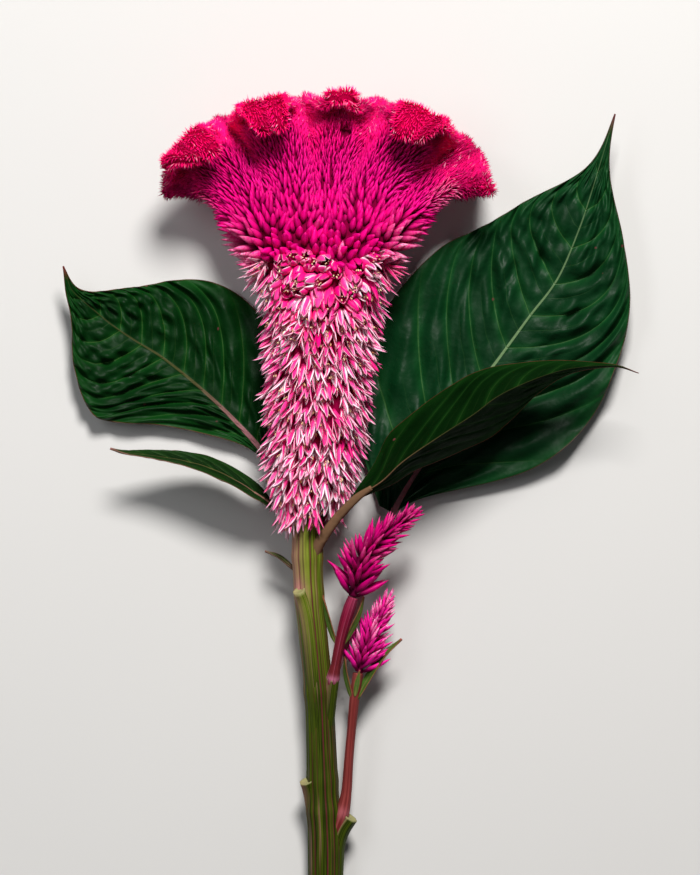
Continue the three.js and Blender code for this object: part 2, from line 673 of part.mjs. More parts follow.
function shootStalk({ stalk, stalkRadius, ribs, leaves }) {
  const radiusAt = (share, angle) =>
    mix(stalkRadius[0], stalkRadius[1], share) + STALK_RIB_HEIGHT * Math.cos(ribs * angle);
  const trunk = rod(smoothLine(stalk), radiusAt, 2 * ribs, 7);
  return Manifold.union([trunk, ...leaves.map(narrowLeaf)]);
}

/** A small spike: a tapering core along a curve, furred with long buds that lean towards its tip. */
function shootSpike({ spike, spikeRadius, bud }, seed, neighbours) {
  const random = seededRandom(seed);
  const curve = smoothLine(spike);
  const up = new THREE.Vector3(0, 0, 1);
  const outwardAt = ({ side, above }, around) => {
    const angle = around * FULL_TURN;
    return side.clone().multiplyScalar(Math.cos(angle)).addScaledVector(above, Math.sin(angle));
  };
  return furredSolid({
    surface: (around, stage) => {
      const frame = frameAt(curve, stage, up);
      return frame.at.clone().addScaledVector(outwardAt(frame, around), alongList(spikeRadius, stage));
    },
    tip: (around, stage) => {
      const frame = frameAt(curve, stage, up);
      const lean = degrees(mix(bud.lean[0], bud.lean[1], stage) + LEAN_SCATTER * (random() - 0.5));
      return outwardAt(frame, around)
        .multiplyScalar(Math.cos(lean))
        .addScaledVector(frame.along, Math.sin(lean))
        .multiplyScalar(mix(bud.length[0], bud.length[1], stage))
        .multiplyScalar(1 + LENGTH_SCATTER * (random() - 0.5));
    },
    stages: evenSteps(0, 1, bud.rows),
    columns: bud.columns,
    clearOf: neighbours,
  });
}

// ---------------------------------------------------------------------------
// The plant
// ---------------------------------------------------------------------------

/** The half space above the surface that the plant lies on. */
function aboveSurface() {
  const block = new THREE.BoxGeometry(400, 500, 200).translate(0, 0, 100);
  block.deleteAttribute("normal");
  block.deleteAttribute("uv");
  const { attributes, index } = mergeVertices(block);
  const vertProperties = attributes.position.array;
  const triVerts = new Uint32Array(index.array);
  return new Manifold(new SolidMesh({ numProp: 3, vertProperties, triVerts }));
}

/** The largest body of a solid: scraps that a cut has split off are left out. */
const largestBody = (solid) => solid.decompose().sort((a, b) => b.volume() - a.volume())[0];

function meshOf(name, solid, look) {
  const { numProp, vertProperties, triVerts, numVert } = solid.getMesh();
  const positions = new Float32Array(numVert * 3);
  for (let i = 0; i < numVert; i++) {
    positions.set(vertProperties.subarray(i * numProp, i * numProp + 3), i * 3);
  }
  const geometry = new THREE.BufferGeometry()
    .setAttribute("position", new THREE.BufferAttribute(positions, 3))
    .setIndex(new THREE.BufferAttribute(new Uint32Array(triVerts), 1));
  geometry.computeVertexNormals();
  const mesh = new THREE.Mesh(geometry, new THREE.MeshStandardMaterial({ ...look, metalness: 0 }));
  mesh.name = name;
  return mesh;
}

const plant = new THREE.Group();
const ground = aboveSurface();
const grownStem = stemSolid(GAP);

const stem = largestBody(stemSolid().intersect(ground));
plant.add(meshOf("stem", stem, COLOURS.stem));

const leaves = Object.entries(LEAVES).map(([name, shape]) => [
  name,
  largestBody(leafSolid(shape).subtract(grownStem).intersect(ground)),
]);
leaves.forEach(([name, solid]) => plant.add(meshOf(name, solid, COLOURS.leaf)));

const leafSolids = leaves.map(([, solid]) => solid);
const stalks = Object.values(SHOOTS).map((shape) =>
  largestBody(shootStalk(shape).subtract(Manifold.union([grownStem, ...leafSolids]))),
);
Object.entries(SHOOTS).forEach(([name, shape], i) => {
  const spikeOfShoot = shootSpike(shape, 31 + i, [grownStem, ...leafSolids, ...stalks]);
  plant.add(meshOf(name + "_stalk", stalks[i], COLOURS.shootStalk));
  plant.add(meshOf(name + "_spike", spikeOfShoot, COLOURS.bud));
});

const aroundHead = [grownStem, ...leafSolids];
const spike = spikeSolid(aroundHead);
const fan = fanSolid([...aroundHead, spike, crestSolid([], 0)]);
const crest = crestSolid([...aroundHead, fan]).intersect(ground);
plant.add(meshOf("spike_florets", spike, COLOURS.floret));
plant.add(meshOf("fan_buds", fan, COLOURS.bud));
plant.add(meshOf("crest", largestBody(crest), COLOURS.crest));

export default plant;
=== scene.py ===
"""Looks of a cut stem of cockscomb celosia that lies on a pale surface.

Shapes are worked out in millimetres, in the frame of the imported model, and turned to metres when a mesh
is made. The head, the leaves and the stem follow the same formulas as their solids, on a finer grid.
"""

from functools import partialmethod, reduce

import bpy
import numpy as np
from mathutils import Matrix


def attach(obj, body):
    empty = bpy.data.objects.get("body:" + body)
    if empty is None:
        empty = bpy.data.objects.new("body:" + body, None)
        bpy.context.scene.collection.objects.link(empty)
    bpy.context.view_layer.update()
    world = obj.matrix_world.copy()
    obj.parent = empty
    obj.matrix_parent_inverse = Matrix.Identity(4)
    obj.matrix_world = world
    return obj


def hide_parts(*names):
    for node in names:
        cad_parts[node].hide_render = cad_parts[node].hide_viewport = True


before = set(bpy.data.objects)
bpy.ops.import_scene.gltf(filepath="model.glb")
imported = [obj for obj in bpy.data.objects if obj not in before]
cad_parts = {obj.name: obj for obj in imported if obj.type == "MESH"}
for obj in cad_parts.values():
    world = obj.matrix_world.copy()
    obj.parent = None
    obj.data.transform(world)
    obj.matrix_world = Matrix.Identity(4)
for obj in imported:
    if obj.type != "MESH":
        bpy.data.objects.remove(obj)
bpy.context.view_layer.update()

MILLIMETRE = 0.001
TURN = 2 * np.pi
GOLDEN_ANGLE = 2.39996
UP = np.array([0.0, 0.0, 1.0])
SURFACE_CLEARANCE = 0.1
HEAD_TOP = 50.4
TOP_PRESS = 0.6  # share of the height over the head's top that is taken off
LINE_STEPS = 80

# Stem, from the head down to the cut end: x, y, z and radius.
STEM = np.array([
    [-15.6, 0.8, 23.2, 5.5], [-15.9, -8.4, 22.3, 5.5], [-15.7, -20.6, 21, 5.3], [-15.1, -31.7, 19.8, 5.2],
    [-13.6, -47, 18.1, 5.2], [-11.7, -68, 15.8, 5.3], [-10.9, -87, 13.7, 5.6], [-10.3, -104, 12, 6],
    [-9.5, -121.7, 10.1, 6.2], [-9.4, -134.8, 8.7, 6.1], [-9.8, -158.8, 6, 6.3],
])
STEM_NODES = [(0.1, 0.35), (0.19, 0.3), (0.42, 0.4), (0.63, 0.25), (0.7, 0.45)]  # share of its length, swelling
# Leaf bases cut off short: each runs up the stem as a low ridge and bends out to its cut face.
# Points from the ridge's foot to the cut face, and the radius at each. The last ridge bears a shoot.
STUBS = [
    (
        [
            [-10.4, -124, 12], [-11.4, -100, 15.2], [-12.6, -75, 17.9], [-14.2, -55, 20.3],
            [-15.9, -39, 22.5], [-17.6, -31.6, 23.6], [-19.2, -28, 25.6],
        ],
        [0.8, 2.1, 2.5, 2.6, 2.6, 2.5, 2.35],
    ),
    (
        [
            [-13.9, -134, 8.6], [-14.2, -118, 10.7], [-14.6, -109, 12.2], [-15.3, -103.4, 13.4],
            [-16.5, -99.8, 15.2],
        ],
        [0.8, 1.7, 2.3, 2.6, 2.5],
    ),
    (
        [[-6.4, -158.4, 6.2], [-5.4, -134, 9], [-4.8, -124, 10.3], [-3.2, -118.4, 11.6], [0.1, -113.4, 13.2]],
        [2.5, 2.8, 2.9, 3.1, 2.9],
    ),
    (
        [[-9.6, -104, 12.2], [-8.9, -88, 14.6], [-8.1, -76, 16.6], [-7.1, -66, 18.6], [-6.4, -61.2, 20]],
        [0.8, 1.7, 2.3, 2.4, 2.3],
    ),
]

# Head: a spike of florets that opens into a flat fan, whose edge rolls over in folds.
SPIKE_BASE = np.array([-15.6, 1.2, 23.2])
FAN_FOOT = np.array([-10.5, 95.1, 25.2])
SPIKE_HALF_WIDTHS = [8, 12.2, 13.5, 14.6, 15.1, 15.6, 16.4, 18, 21.5]
SPIKE_HALF_DEPTH = (6.6, 13.2)
FAN_SPREAD = np.radians(35)
FAN_HALF_DEPTH = 3.2
RIM_CENTRE = np.array([-8.6, 120.5, 25.2])
RIM_HALF_SIZE = np.array([66, 40, 0])
CREST_HALF_THICKNESS = 2.2
CREST_BRISTLE = 2.8
CREST_EDGE = 0.09
FAN_HOLLOW = (-2, 142.4, 2.6)  # x, y and radius
ROW_SHARE = 0.87  # distance of rows of florets, as a share of the distance in a row
ROLL_LENGTH = (14, 28)
ROLL_FORWARD, ROLL_BACK = np.radians([200, 112])
FOLD_DEPTH = (5, 6.4)
FOLDS = np.array([
    [-1, -0.2], [-0.66, 1], [-0.59, 1], [-0.44, -1], [-0.3, 1], [-0.21, 1], [-0.09, -0.9],
    [0.02, 0.55], [0.09, 0.55], [0.2, -0.9], [0.34, 1], [0.45, 1], [0.63, -1], [1, 0.35],
])

# Leaves: the midrib, the share of it that is a bare stalk, the way the upper side faces, and for each
# half its widths from base to tip and how far it is tilted up. The rib is given on top, and below.
BLADE_THICKNESS = 0.5
BLADE_DROOP = 0.0022
VEIN_SWEEP = 0.33
LEAVES = {
    "left_leaf": dict(
        midrib=[
            [-18.4, -9, 21], [-22.8, -0.8, 14], [-27.4, 10.4, 9], [-31.5, 21.6, 6.6], [-43.2, 35.4, 5.2],
            [-58.5, 49.7, 5.2], [-72, 60.3, 6], [-80.4, 65.4, 7], [-89.7, 71.7, 8.6], [-97.5, 78.2, 10.4],
            [-104.4, 84.6, 12.4], [-107.8, 93.6, 14.6],
        ],
        stalk=0.235, face=[-0.06, 0.02, 1],
        right=([2, 20, 31, 35.6, 35.3, 27.6, 16.4, 4, 0.3], 1),
        left=([2, 5.2, 12.6, 20.4, 28.8, 32.2, 21, 5.4, 0.3], 8),
        veins=11, quilt=4.2, rib=(1.3, 0.12), keel=(1.75, 0.35), grid=(170, 40),
    ),
    "right_leaf": dict(
        midrib=[
            [-8.6, -62.6, 17], [-5.6, -58.6, 15.8], [3.6, -31.4, 12.2], [10.4, -12.6, 9], [17, 2.4, 6.6],
            [24.1, 14.6, 5.6], [41.2, 39.4, 5.6], [55, 57.6, 6.8], [67.8, 75.1, 8.6], [77.9, 88.6, 10.6],
            [86.6, 108.8, 13.6], [91.4, 123.6, 15.4], [95.4, 137, 16.8], [99.5, 150.7, 18],
        ],
        stalk=0.285, face=[-0.02, 0, 1],
        right=([3, 18.8, 35, 41.5, 40, 31, 17.2, 4.6, 0.3], 7),
        left=([11, 33, 42.5, 45.6, 43.4, 35.8, 23.6, 4.4, 0.3], 1),
        lobe=0.03, veins=11, quilt=4.8, rib=(1.25, 0.12), keel=(1.6, 0.35), grid=(190, 44),
    ),
    "front_leaf": dict(
        midrib=[
            [-12.6, -11.6, 25], [-9.6, -7.4, 27.6], [-4.6, -0.6, 31], [2.6, 6.8, 35.6], [12, 13, 39.6],
            [19.4, 20, 42.2], [32.9, 29.4, 45], [46.3, 38.1, 46], [54.4, 44.2, 45.6], [65.1, 49.5, 44.2],
            [78.8, 54.2, 41.6], [91.9, 55.9, 38.6], [100.1, 55.7, 37], [107.6, 53.2, 36.2],
        ],
        stalk=0.12, face=[0, 0.05, 1],
        right=([1.2, 4.4, 9.8, 15.6, 19.8, 23, 21, 11.5, 4.2, 1.7, 0.3], -64),
        left=([1.6, 10.5, 21, 25.4, 27.5, 27.3, 22.8, 14.6, 7, 2.1, 0.3], -58),
        veins=9, quilt=1.1, rib=(0.8, 0.12), keel=(1.9, 0.35), grid=(150, 26),
    ),
    "narrow_leaf": dict(
        midrib=[
            [-18.2, -5.6, 22], [-25.4, 1, 20], [-31.5, 5.4, 19.4], [-42.4, 12.6, 20.2], [-51.8, 17.2, 21.4],
            [-61.9, 20.2, 22.4], [-74.5, 22.3, 23.4], [-84.6, 23.6, 24.4], [-89.7, 25.2, 25.2],
        ],
        stalk=0.17, face=[0.25, 0.94, 0.24],
        right=([3, 8.4, 9.8, 10.4, 9.8, 8, 5.6, 3, 0.3], 12), left=([2.6, 7, 8.6, 9, 7.6, 5.6, 3.6, 2, 0.3], 0),
        veins=7, quilt=0.8, rib=(0.6, 0.12), keel=(1.3, 0.3), grid=(130, 16),
    ),
    "small_leaf": dict(
        midrib=[[-17, -23, 17.4], [-21.8, -19.4, 16.6], [-26.6, -15.6, 16.4], [-31.9, -13.4, 16.8]],
        stalk=0.2, face=[0.3, 0.5, 0.8],
        right=([0.4, 0.9, 1.1, 0.8, 0.25], 14), left=([0.4, 0.9, 1.1, 0.8, 0.25], 14),
        veins=2, quilt=0, rib=(0.4, 0.2), keel=(0.8, 0.3), grid=(44, 8),
    ),
}
# Stalks of the leaves, which share points with the midribs: those inside the stem, the last one under the
# blade, and the radius at each.
LEAF_STALKS = {
    "left_leaf": ([[-16.6, -12.6, 21.6]], [-35, 26.4, 5.9], [2.6, 2.1, 1.8, 1.65, 1.45, 0.9]),
    "right_leaf": (
        [[-11.4, -68.4, 16.4], [-8.6, -62.6, 17.4]], [20, 8, 6],
        [2.6, 2, 1.5, 1.25, 1.3, 1.35, 0.9],
    ),
    "front_leaf": (
        [[-14.8, -17.6, 22.4], [-12.9, -12.4, 24.8], [-9.8, -7.6, 27.5]], [8, 10.6, 38],
        [2.9, 2.5, 2, 1.75, 1.5, 0.9],
    ),
    "narrow_leaf": ([[-16.6, -8.4, 22]], [-36, 8.6, 19.6], [2.2, 1.7, 1.3, 1, 0.6]),
    "small_leaf": ([[-15.4, -23.6, 17.6]], [-20.5, -20.4, 16.8], [1, 0.8, 0.5]),
}

# Side shoots: the stalk and its radius at steps along it, its narrow leaves (midrib, face, width), and its
# small spike: centre line, radius, number of buds, and their length, girth and lean at the foot and the tip.
SHOOT_COLLAR = 2  # the stalk's point that is thicker
SHOOTS = {
    "upper_shoot": dict(
        stalk=[
            [-8, -74, 16.6], [-7.2, -66, 18.6], [-6.4, -61, 20.1], [-5.4, -56, 21.4], [-3.9, -48, 22.9],
            [-2.2, -41, 23.9], [-0.2, -34.4, 24.6], [1.2, -30.6, 25],
        ],
        radius=[0.8, 1.7, 2.45, 1.75, 1.8, 2.1, 2.2, 1.9],
        leaves=[
            ([[-5.2, -48, 21.2], [-6.9, -43, 21], [-8.5, -37, 21.4], [-10.4, -30, 22.4]],
             [-0.75, 0.3, 0.6], 1.6),
            ([[-2.6, -48.6, 21.6], [0.8, -42, 22], [3.3, -36.6, 23], [5.2, -30.5, 24.4]],
             [0.6, -0.3, 0.7], 1.5),
        ],
        spike=[[0.9, -30.15, 25], [5.4, -15.6, 26.6], [22.4, 0.4, 28]],
        spike_radius=[1.5, 2.3, 2.1, 1.3, 0.4],
        buds=150, length=(13.8, 5.8), girth=(1.25, 0.48), lean=(33, 64), pale=0.12, seed=41,
    ),
    "lower_shoot": dict(
        stalk=[
            [-6.6, -126, 10.6], [-4.8, -118, 12.4], [-2.8, -111.6, 13.6], [-1.4, -104, 14], [-0.5, -92, 14.4],
            [0.6, -80, 14.8], [1.6, -69.4, 15.2], [3, -59.2, 15.6],
        ],
        radius=[1.4, 2.3, 2.5, 1.85, 1.6, 1.55, 1.8, 1.9],
        leaves=[
            ([[2.2, -70, 15.6], [6.6, -62, 15.4], [12.2, -53.4, 16.2], [19.4, -46.4, 17.2]],
             [-0.5, 0.6, 0.6], 2.3),
            ([[1, -69.4, 15.8], [-0.6, -63.4, 15.6], [-1.6, -58.4, 15.8], [-1.9, -53, 16.6]],
             [-0.8, 0.1, 0.6], 1.5),
            ([[1.8, -68, 16.8], [2.4, -64, 17.8], [3, -61, 18.4], [3.6, -58, 18.9]], [0.1, -0.2, 1], 1.2),
        ],
        spike=[[3.15, -58.75, 15.6], [7.2, -46.8, 16.6], [13.6, -32.6, 17.6]],
        spike_radius=[1.3, 2.2, 2, 1.3, 0.5],
        buds=140, length=(11.4, 5.6), girth=(0.98, 0.44), lean=(36, 68), pale=0.6, seed=42,
    ),
}

# Open florets, low on the spike and in the rosettes below the fan: spacing, length and width of a tepal,
# and the angle in degrees by which it opens.
FLORET_SPACING, FLORET_LENGTH, FLORET_WIDTH, FLORET_OPENING = (4.9, 4.5), (10.3, 8.8), (2.1, 3.5), (27, 24)
# Closed buds: spacing and girth at the fan's foot and at the crest, and length in the middle of the fan's
# foot, at its sides, and at the crest.
BUD_SPACING, BUD_GIRTH, BUD_LENGTH = (3.45, 1.36), (1.62, 0.42), (8.4, 13, 5)
# Bristles: spacing and girth at the crest's foot and further out, and length there and at its edge. On the
# back they are evenly spaced.
BRISTLE_SPACING, BRISTLE_GIRTH, BRISTLE_LENGTH = (0.76, 0.61), (0.3, 0.21), (4.8, 3.2, 2.9)
BRISTLE_BACK_SPACING = 0.8
FLORET_SEED, ANTHER_SEED, BUD_SEED, BRISTLE_SEEDS = 5, 6, 7, (8, 9)

# Tepals: rings from foot to tip, their width there, height of the keel, and steps of the centre line.
TEPAL_SHARES = np.array([0, 0.3, 0.62, 0.86])
TEPAL_OUTLINE = np.array([0.55, 0.98, 0.92, 0.5])
TEPAL_KEEL = 0.5
TEPAL_STEPS = 50


# Small tools

def clamp(x):
    return np.clip(x, 0.0, 1.0)


def ease(x):
    """Runs from 0 to 1 with no slope at either end: 3x^2 - 2x^3."""
    x = clamp(x)
    return x * x * (3 - 2 * x)


def mix(a, b, t):
    return a + (b - a) * t


def hump(x, middle, width):
    """A bell round the middle: exp(-((x - middle) / width)^2)."""
    return np.exp(-((x - middle) / width) ** 2)


def unit(v):
    return v / np.maximum(np.linalg.norm(v, axis=-1, keepdims=True), 1e-9)


def lengths(points):
    """Length along a line up to each of its points."""
    return np.r_[0, np.cumsum(np.linalg.norm(np.diff(points, axis=0), axis=1))]


def listed(values, share):
    """A value between entries at even steps from 0 to 1, along a smooth cubic."""
    values = np.asarray(values, float)
    last = len(values) - 1
    place = clamp(share) * last
    i = np.minimum(last - 1, np.floor(place).astype(int))
    f = place - i
    a, b, c, d = (values[np.clip(i + k, 0, last)] for k in (-1, 0, 1, 2))
    return b + 0.5 * f * (c - a + f * (2 * a - 5 * b + 4 * c - d + f * (3 * (b - c) + d - a)))


class Line:
    """A smooth line through points, a centripetal Catmull-Rom spline, read by the share of its length."""

    def __init__(self, points):
        p = np.asarray(points, float)
        p = np.vstack([2 * p[0] - p[1], p, 2 * p[-1] - p[-2]])
        d = np.linalg.norm(np.diff(p, axis=0), axis=1) ** 0.5
        x0, x1, x2, x3 = (p[k:len(p) - 3 + k, None] for k in range(4))
        d0, d1, d2 = (d[k:len(d) - 2 + k, None, None] for k in range(3))
        t1 = ((x1 - x0) / d0 - (x2 - x0) / (d0 + d1) + (x2 - x1) / d1) * d1
        t2 = ((x2 - x1) / d1 - (x3 - x1) / (d1 + d2) + (x3 - x2) / d2) * d1
        t = np.linspace(0, 1, LINE_STEPS, endpoint=False)[None, :, None]
        run = x1 + t1 * t + (3 * (x2 - x1) - 2 * t1 - t2) * t ** 2 + (2 * (x1 - x2) + t1 + t2) * t ** 3
        self.points = np.vstack([run.reshape(-1, 3), p[-2]])
        self.share = lengths(self.points) / lengths(self.points)[-1]
        self.knots = self.share[::LINE_STEPS]

    def at(self, share):
        return np.stack([np.interp(share, self.share, self.points[:, k]) for k in range(3)], -1)

    def frame(self, share, up=UP, reach=4e-3):
        """Position, direction over a reach, upward direction and side, with side = direction x upward."""
        along = unit(self.at(np.minimum(1, share + reach)) - self.at(np.maximum(0, share - reach)))
        above = unit(up - np.sum(up * along, axis=-1, keepdims=True) * along)
        return self.at(share), along, above, np.cross(along, above)


def ring_quads(rings, count):
    """Quads between closed rings of count points, numbered ring after ring."""
    i = np.arange(count)
    r = np.arange(rings - 1)[:, None] * count
    j = (i + 1) % count
    return np.stack([r + i, r + j, r + count + j, r + count + i], -1).reshape(-1, 4)


def closed_faces(rings, count):
    """Quads and triangles of a closed tube: quads round it, and a strip across each of its end rings,
    from one half of the ring to the other."""
    i = np.arange(1, count // 2 - 1)
    strip = np.stack([i, i + 1, count - i - 1, count - i], -1)
    corners = np.array([[0, 1, count - 1], [count // 2 - 1, count // 2, count // 2 + 1]])
    last = (rings - 1) * count
    quads = np.vstack([ring_quads(rings, count), strip[:, ::-1], strip + last])
    return quads, np.vstack([corners[:, ::-1], corners + last])


def repeated(faces, count, copies):
    """Face numbers of a shape with count points, for so many copies one after the other."""
    return (faces[None] + count * np.arange(copies)[:, None, None]).reshape(-1, faces.shape[1])


class Piece:
    """Points, faces, texture places and marks of one piece, gathered from its parts. Marks are values
    on the points, and 0 where a part has none."""

    def __init__(self):
        self.points, self.quads, self.triangles, self.uv, self.marks = [], [], [], [], []
        self.count = 0

    def add(self, points, quads, triangles, uv=None, **marks):
        points = points.reshape(-1, 3)
        n = len(points)
        self.points.append(points)
        self.quads.append(quads + self.count)
        self.triangles.append(triangles + self.count)
        self.uv.append(np.zeros((n, 2)) if uv is None else uv.reshape(-1, 2))
        self.marks.append({name: np.broadcast_to(np.ravel(value), n) for name, value in marks.items()})
        self.count += n

    def make(self, name, material, slot, *nodes):
        """The mesh in metres, riding on the plant in place of its nodes. It is kept above the surface,
        and what stands higher than the head's top is pressed down."""
        points = np.concatenate(self.points)
        points[:, 2] = np.maximum(points[:, 2], SURFACE_CLEARANCE)
        points[:, 2] -= TOP_PRESS * np.maximum(0, points[:, 2] - HEAD_TOP)
        quads, triangles = np.concatenate(self.quads), np.concatenate(self.triangles)
        corners = np.concatenate([quads.ravel(), triangles.ravel()]).astype(np.int32)
        starts = np.r_[4 * np.arange(len(quads)), 4 * len(quads) + 3 * np.arange(len(triangles))]
        mesh = bpy.data.meshes.new(name)
        mesh.vertices.add(len(points))
        mesh.vertices.foreach_set("co", (points * MILLIMETRE).astype(np.float32).ravel())
        mesh.loops.add(len(corners))
        mesh.loops.foreach_set("vertex_index", corners)
        mesh.polygons.add(len(starts))
        mesh.polygons.foreach_set("loop_start", starts.astype(np.int32))
        mesh.update(calc_edges=True)
        mesh.polygons.foreach_set("use_smooth", np.ones(len(starts), bool))
        uv = np.concatenate(self.uv)[corners].astype(np.float32)
        mesh.uv_layers.new(name="UVMap").data.foreach_set("uv", uv.ravel())
        for mark in sorted(set().union(*self.marks)):
            values = [marks.get(mark, np.zeros(len(part))) for marks, part in zip(self.marks, self.points)]
            layer = mesh.attributes.new(mark, "FLOAT", "POINT")
            layer.data.foreach_set("value", np.concatenate(values).astype(np.float32))
        mesh.materials.append(material)
        piece = bpy.data.objects.new(name, mesh)
        bpy.context.scene.collection.objects.link(piece)
        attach(piece, "root")
        if nodes:
            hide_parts(*nodes)


# Materials

class Value:
    """A value in a shader's tree. Each sum, difference or product of values is one math node."""

    def __init__(self, tree, socket):
        self.tree, self.socket = tree, socket

    def other(self, output):
        """Another output of the same node."""
        return Value(self.tree, self.socket.node.outputs[output])

    def math(self, operation, *others):
        return node(self.tree, "Math", 0, dict(enumerate((self, *others))), operation=operation)

    __add__ = partialmethod(math, "ADD")
    __sub__ = partialmethod(math, "SUBTRACT")
    __mul__ = partialmethod(math, "MULTIPLY")
    __abs__ = partialmethod(math, "ABSOLUTE")


def node(tree, kind, output, inputs=None, **settings):
    """An output of a new shader node. An input is a plain value, or a Value to link from."""
    made = tree.nodes.new("ShaderNode" + kind)
    for name, value in settings.items():
        setattr(made, name, value)
    for name, value in (inputs or {}).items():
        if isinstance(value, Value):
            tree.links.new(value.socket, made.inputs[name])
        else:
            made.inputs[name].default_value = value
    return Value(tree, made.outputs[output])


def ramp(value, low, high, start=0, end=1):
    """start where value is low, end where it is high, and a smooth passage between."""
    inputs = {"Value": value, "From Min": low, "From Max": high, "To Min": start, "To Max": end}
    return node(value.tree, "MapRange", "Result", inputs, interpolation_type="SMOOTHSTEP")


def linear(r, g, b):
    """A colour given in screen values from 0 to 255, as the linear values that a shader takes."""
    c = np.array([r, g, b]) / 255
    c = np.where(c <= 0.04045, c / 12.92, ((c + 0.055) / 1.055) ** 2.4)
    return (*c.tolist(), 1.0)


def blend(share, first, second):
    """The first colour where share is 0, and the second where it is 1. Plain colours are screen values."""
    first, second = (linear(*c) if isinstance(c, tuple) else c for c in (first, second))
    return node(share.tree, "Mix", 2, {0: share, 6: first, 7: second}, data_type="RGBA")


def object_place(tree):
    return node(tree, "TexCoord", "Object")


def vector(x, y, z=0.0):
    return node(x.tree, "CombineXYZ", "Vector", {"X": x, "Y": y, "Z": z})


def noise(place, scale, detail=2.0, roughness=0.5):
    inputs = {"Vector": place, "Scale": scale, "Detail": detail, "Roughness": roughness}
    return node(place.tree, "TexNoise", "Fac", inputs)


FLOAT, COLOUR, VECTOR = "NodeSocketFloat", "NodeSocketColor", "NodeSocketVector"


def effect(name, result, *inputs):
    """A node group with named inputs and one output: its tree, its inputs as values, its output's socket."""
    tree = bpy.data.node_groups.new(name, "ShaderNodeTree")
    for title, kind, value in inputs:
        tree.interface.new_socket(title, in_out="INPUT", socket_type=kind).default_value = value
    title, kind = result
    tree.interface.new_socket(title, in_out="OUTPUT", socket_type=kind)
    given = tree.nodes.new("NodeGroupInput").outputs
    values = [Value(tree, given[title]) for title, _, _ in inputs]
    return tree, values, tree.nodes.new("NodeGroupOutput").inputs[0]


def mottle_effect():
    """Colour that drifts darker and lighter in soft patches, and with each piece's shade mark: a floret's
    or bud's own tone, and on the crest painted shade.
    """
    tree, (colour, scale, amount, shade), result = effect(
        "living_mottle", ("Colour", COLOUR),
        ("Colour", COLOUR, (1, 1, 1, 1)), ("Scale", FLOAT, 100.0), ("Amount", FLOAT, 0.2),
        ("Shade", FLOAT, 0.5),
    )
    patches = noise(object_place(tree), scale, 3.0, 0.6)
    value = ((patches - 0.5) + (shade - 0.5)) * (amount * 2) + 1
    turned = node(tree, "HueSaturation", "Color", {"Value": value, "Color": colour})
    tree.links.new(turned.socket, result)
    return tree


def skin_effect():
    """Fine relief of plant skin, small cells on top of a given height, as a normal."""
    tree, (scale, depth, height), result = effect(
        "plant_skin", ("Normal", VECTOR),
        ("Scale", FLOAT, 800.0), ("Depth", FLOAT, 0.1), ("Height", FLOAT, 0.0),
    )
    relief = noise(object_place(tree), scale, 3.0, 0.6) * depth + height
    bump = node(tree, "Bump", "Normal", {"Height": relief, "Strength": 0.6, "Distance": 0.001})
    tree.links.new(bump.socket, result)
    return tree


MOTTLE = mottle_effect()
SKIN = skin_effect()


class Finish:
    """A material in the making: the sources of its values, and the links to its shader."""

    def __init__(self, name, specular, roughness=0.5):
        self.material = bpy.data.materials.new(name)
        self.material.use_nodes = True
        self.tree = self.material.node_tree
        self.inputs = next(n for n in self.tree.nodes if n.type == "BSDF_PRINCIPLED").inputs
        self.inputs["Specular IOR Level"].default_value = specular
        self.inputs["Roughness"].default_value = roughness

    def mark(self, name):
        return node(self.tree, "Attribute", "Fac", attribute_name=name, attribute_type="GEOMETRY")

    def uv(self):
        x = node(self.tree, "SeparateXYZ", "X", {"Vector": node(self.tree, "UVMap", "UV", uv_map="UVMap")})
        return x, x.other("Y")

    def mottled(self, colour, scale, amount, shade=0.5):
        inputs = {"Colour": colour, "Scale": scale, "Amount": amount, "Shade": shade}
        return node(self.tree, "Group", "Colour", inputs, node_tree=MOTTLE)

    def done(self, colour, cells=None, depth=0.0, height=0.0, roughness=None):
        """The material, with skin cells of a scale and depth on top of a height, and linked roughness."""
        self.tree.links.new(colour.socket, self.inputs["Base Color"])
        if roughness:
            self.tree.links.new(roughness.socket, self.inputs["Roughness"])
        if cells:
            inputs = {"Scale": cells, "Depth": depth, "Height": height}
            relief = node(self.tree, "Group", "Normal", inputs, node_tree=SKIN)
            self.tree.links.new(relief.socket, self.inputs["Normal"])
        return self.material


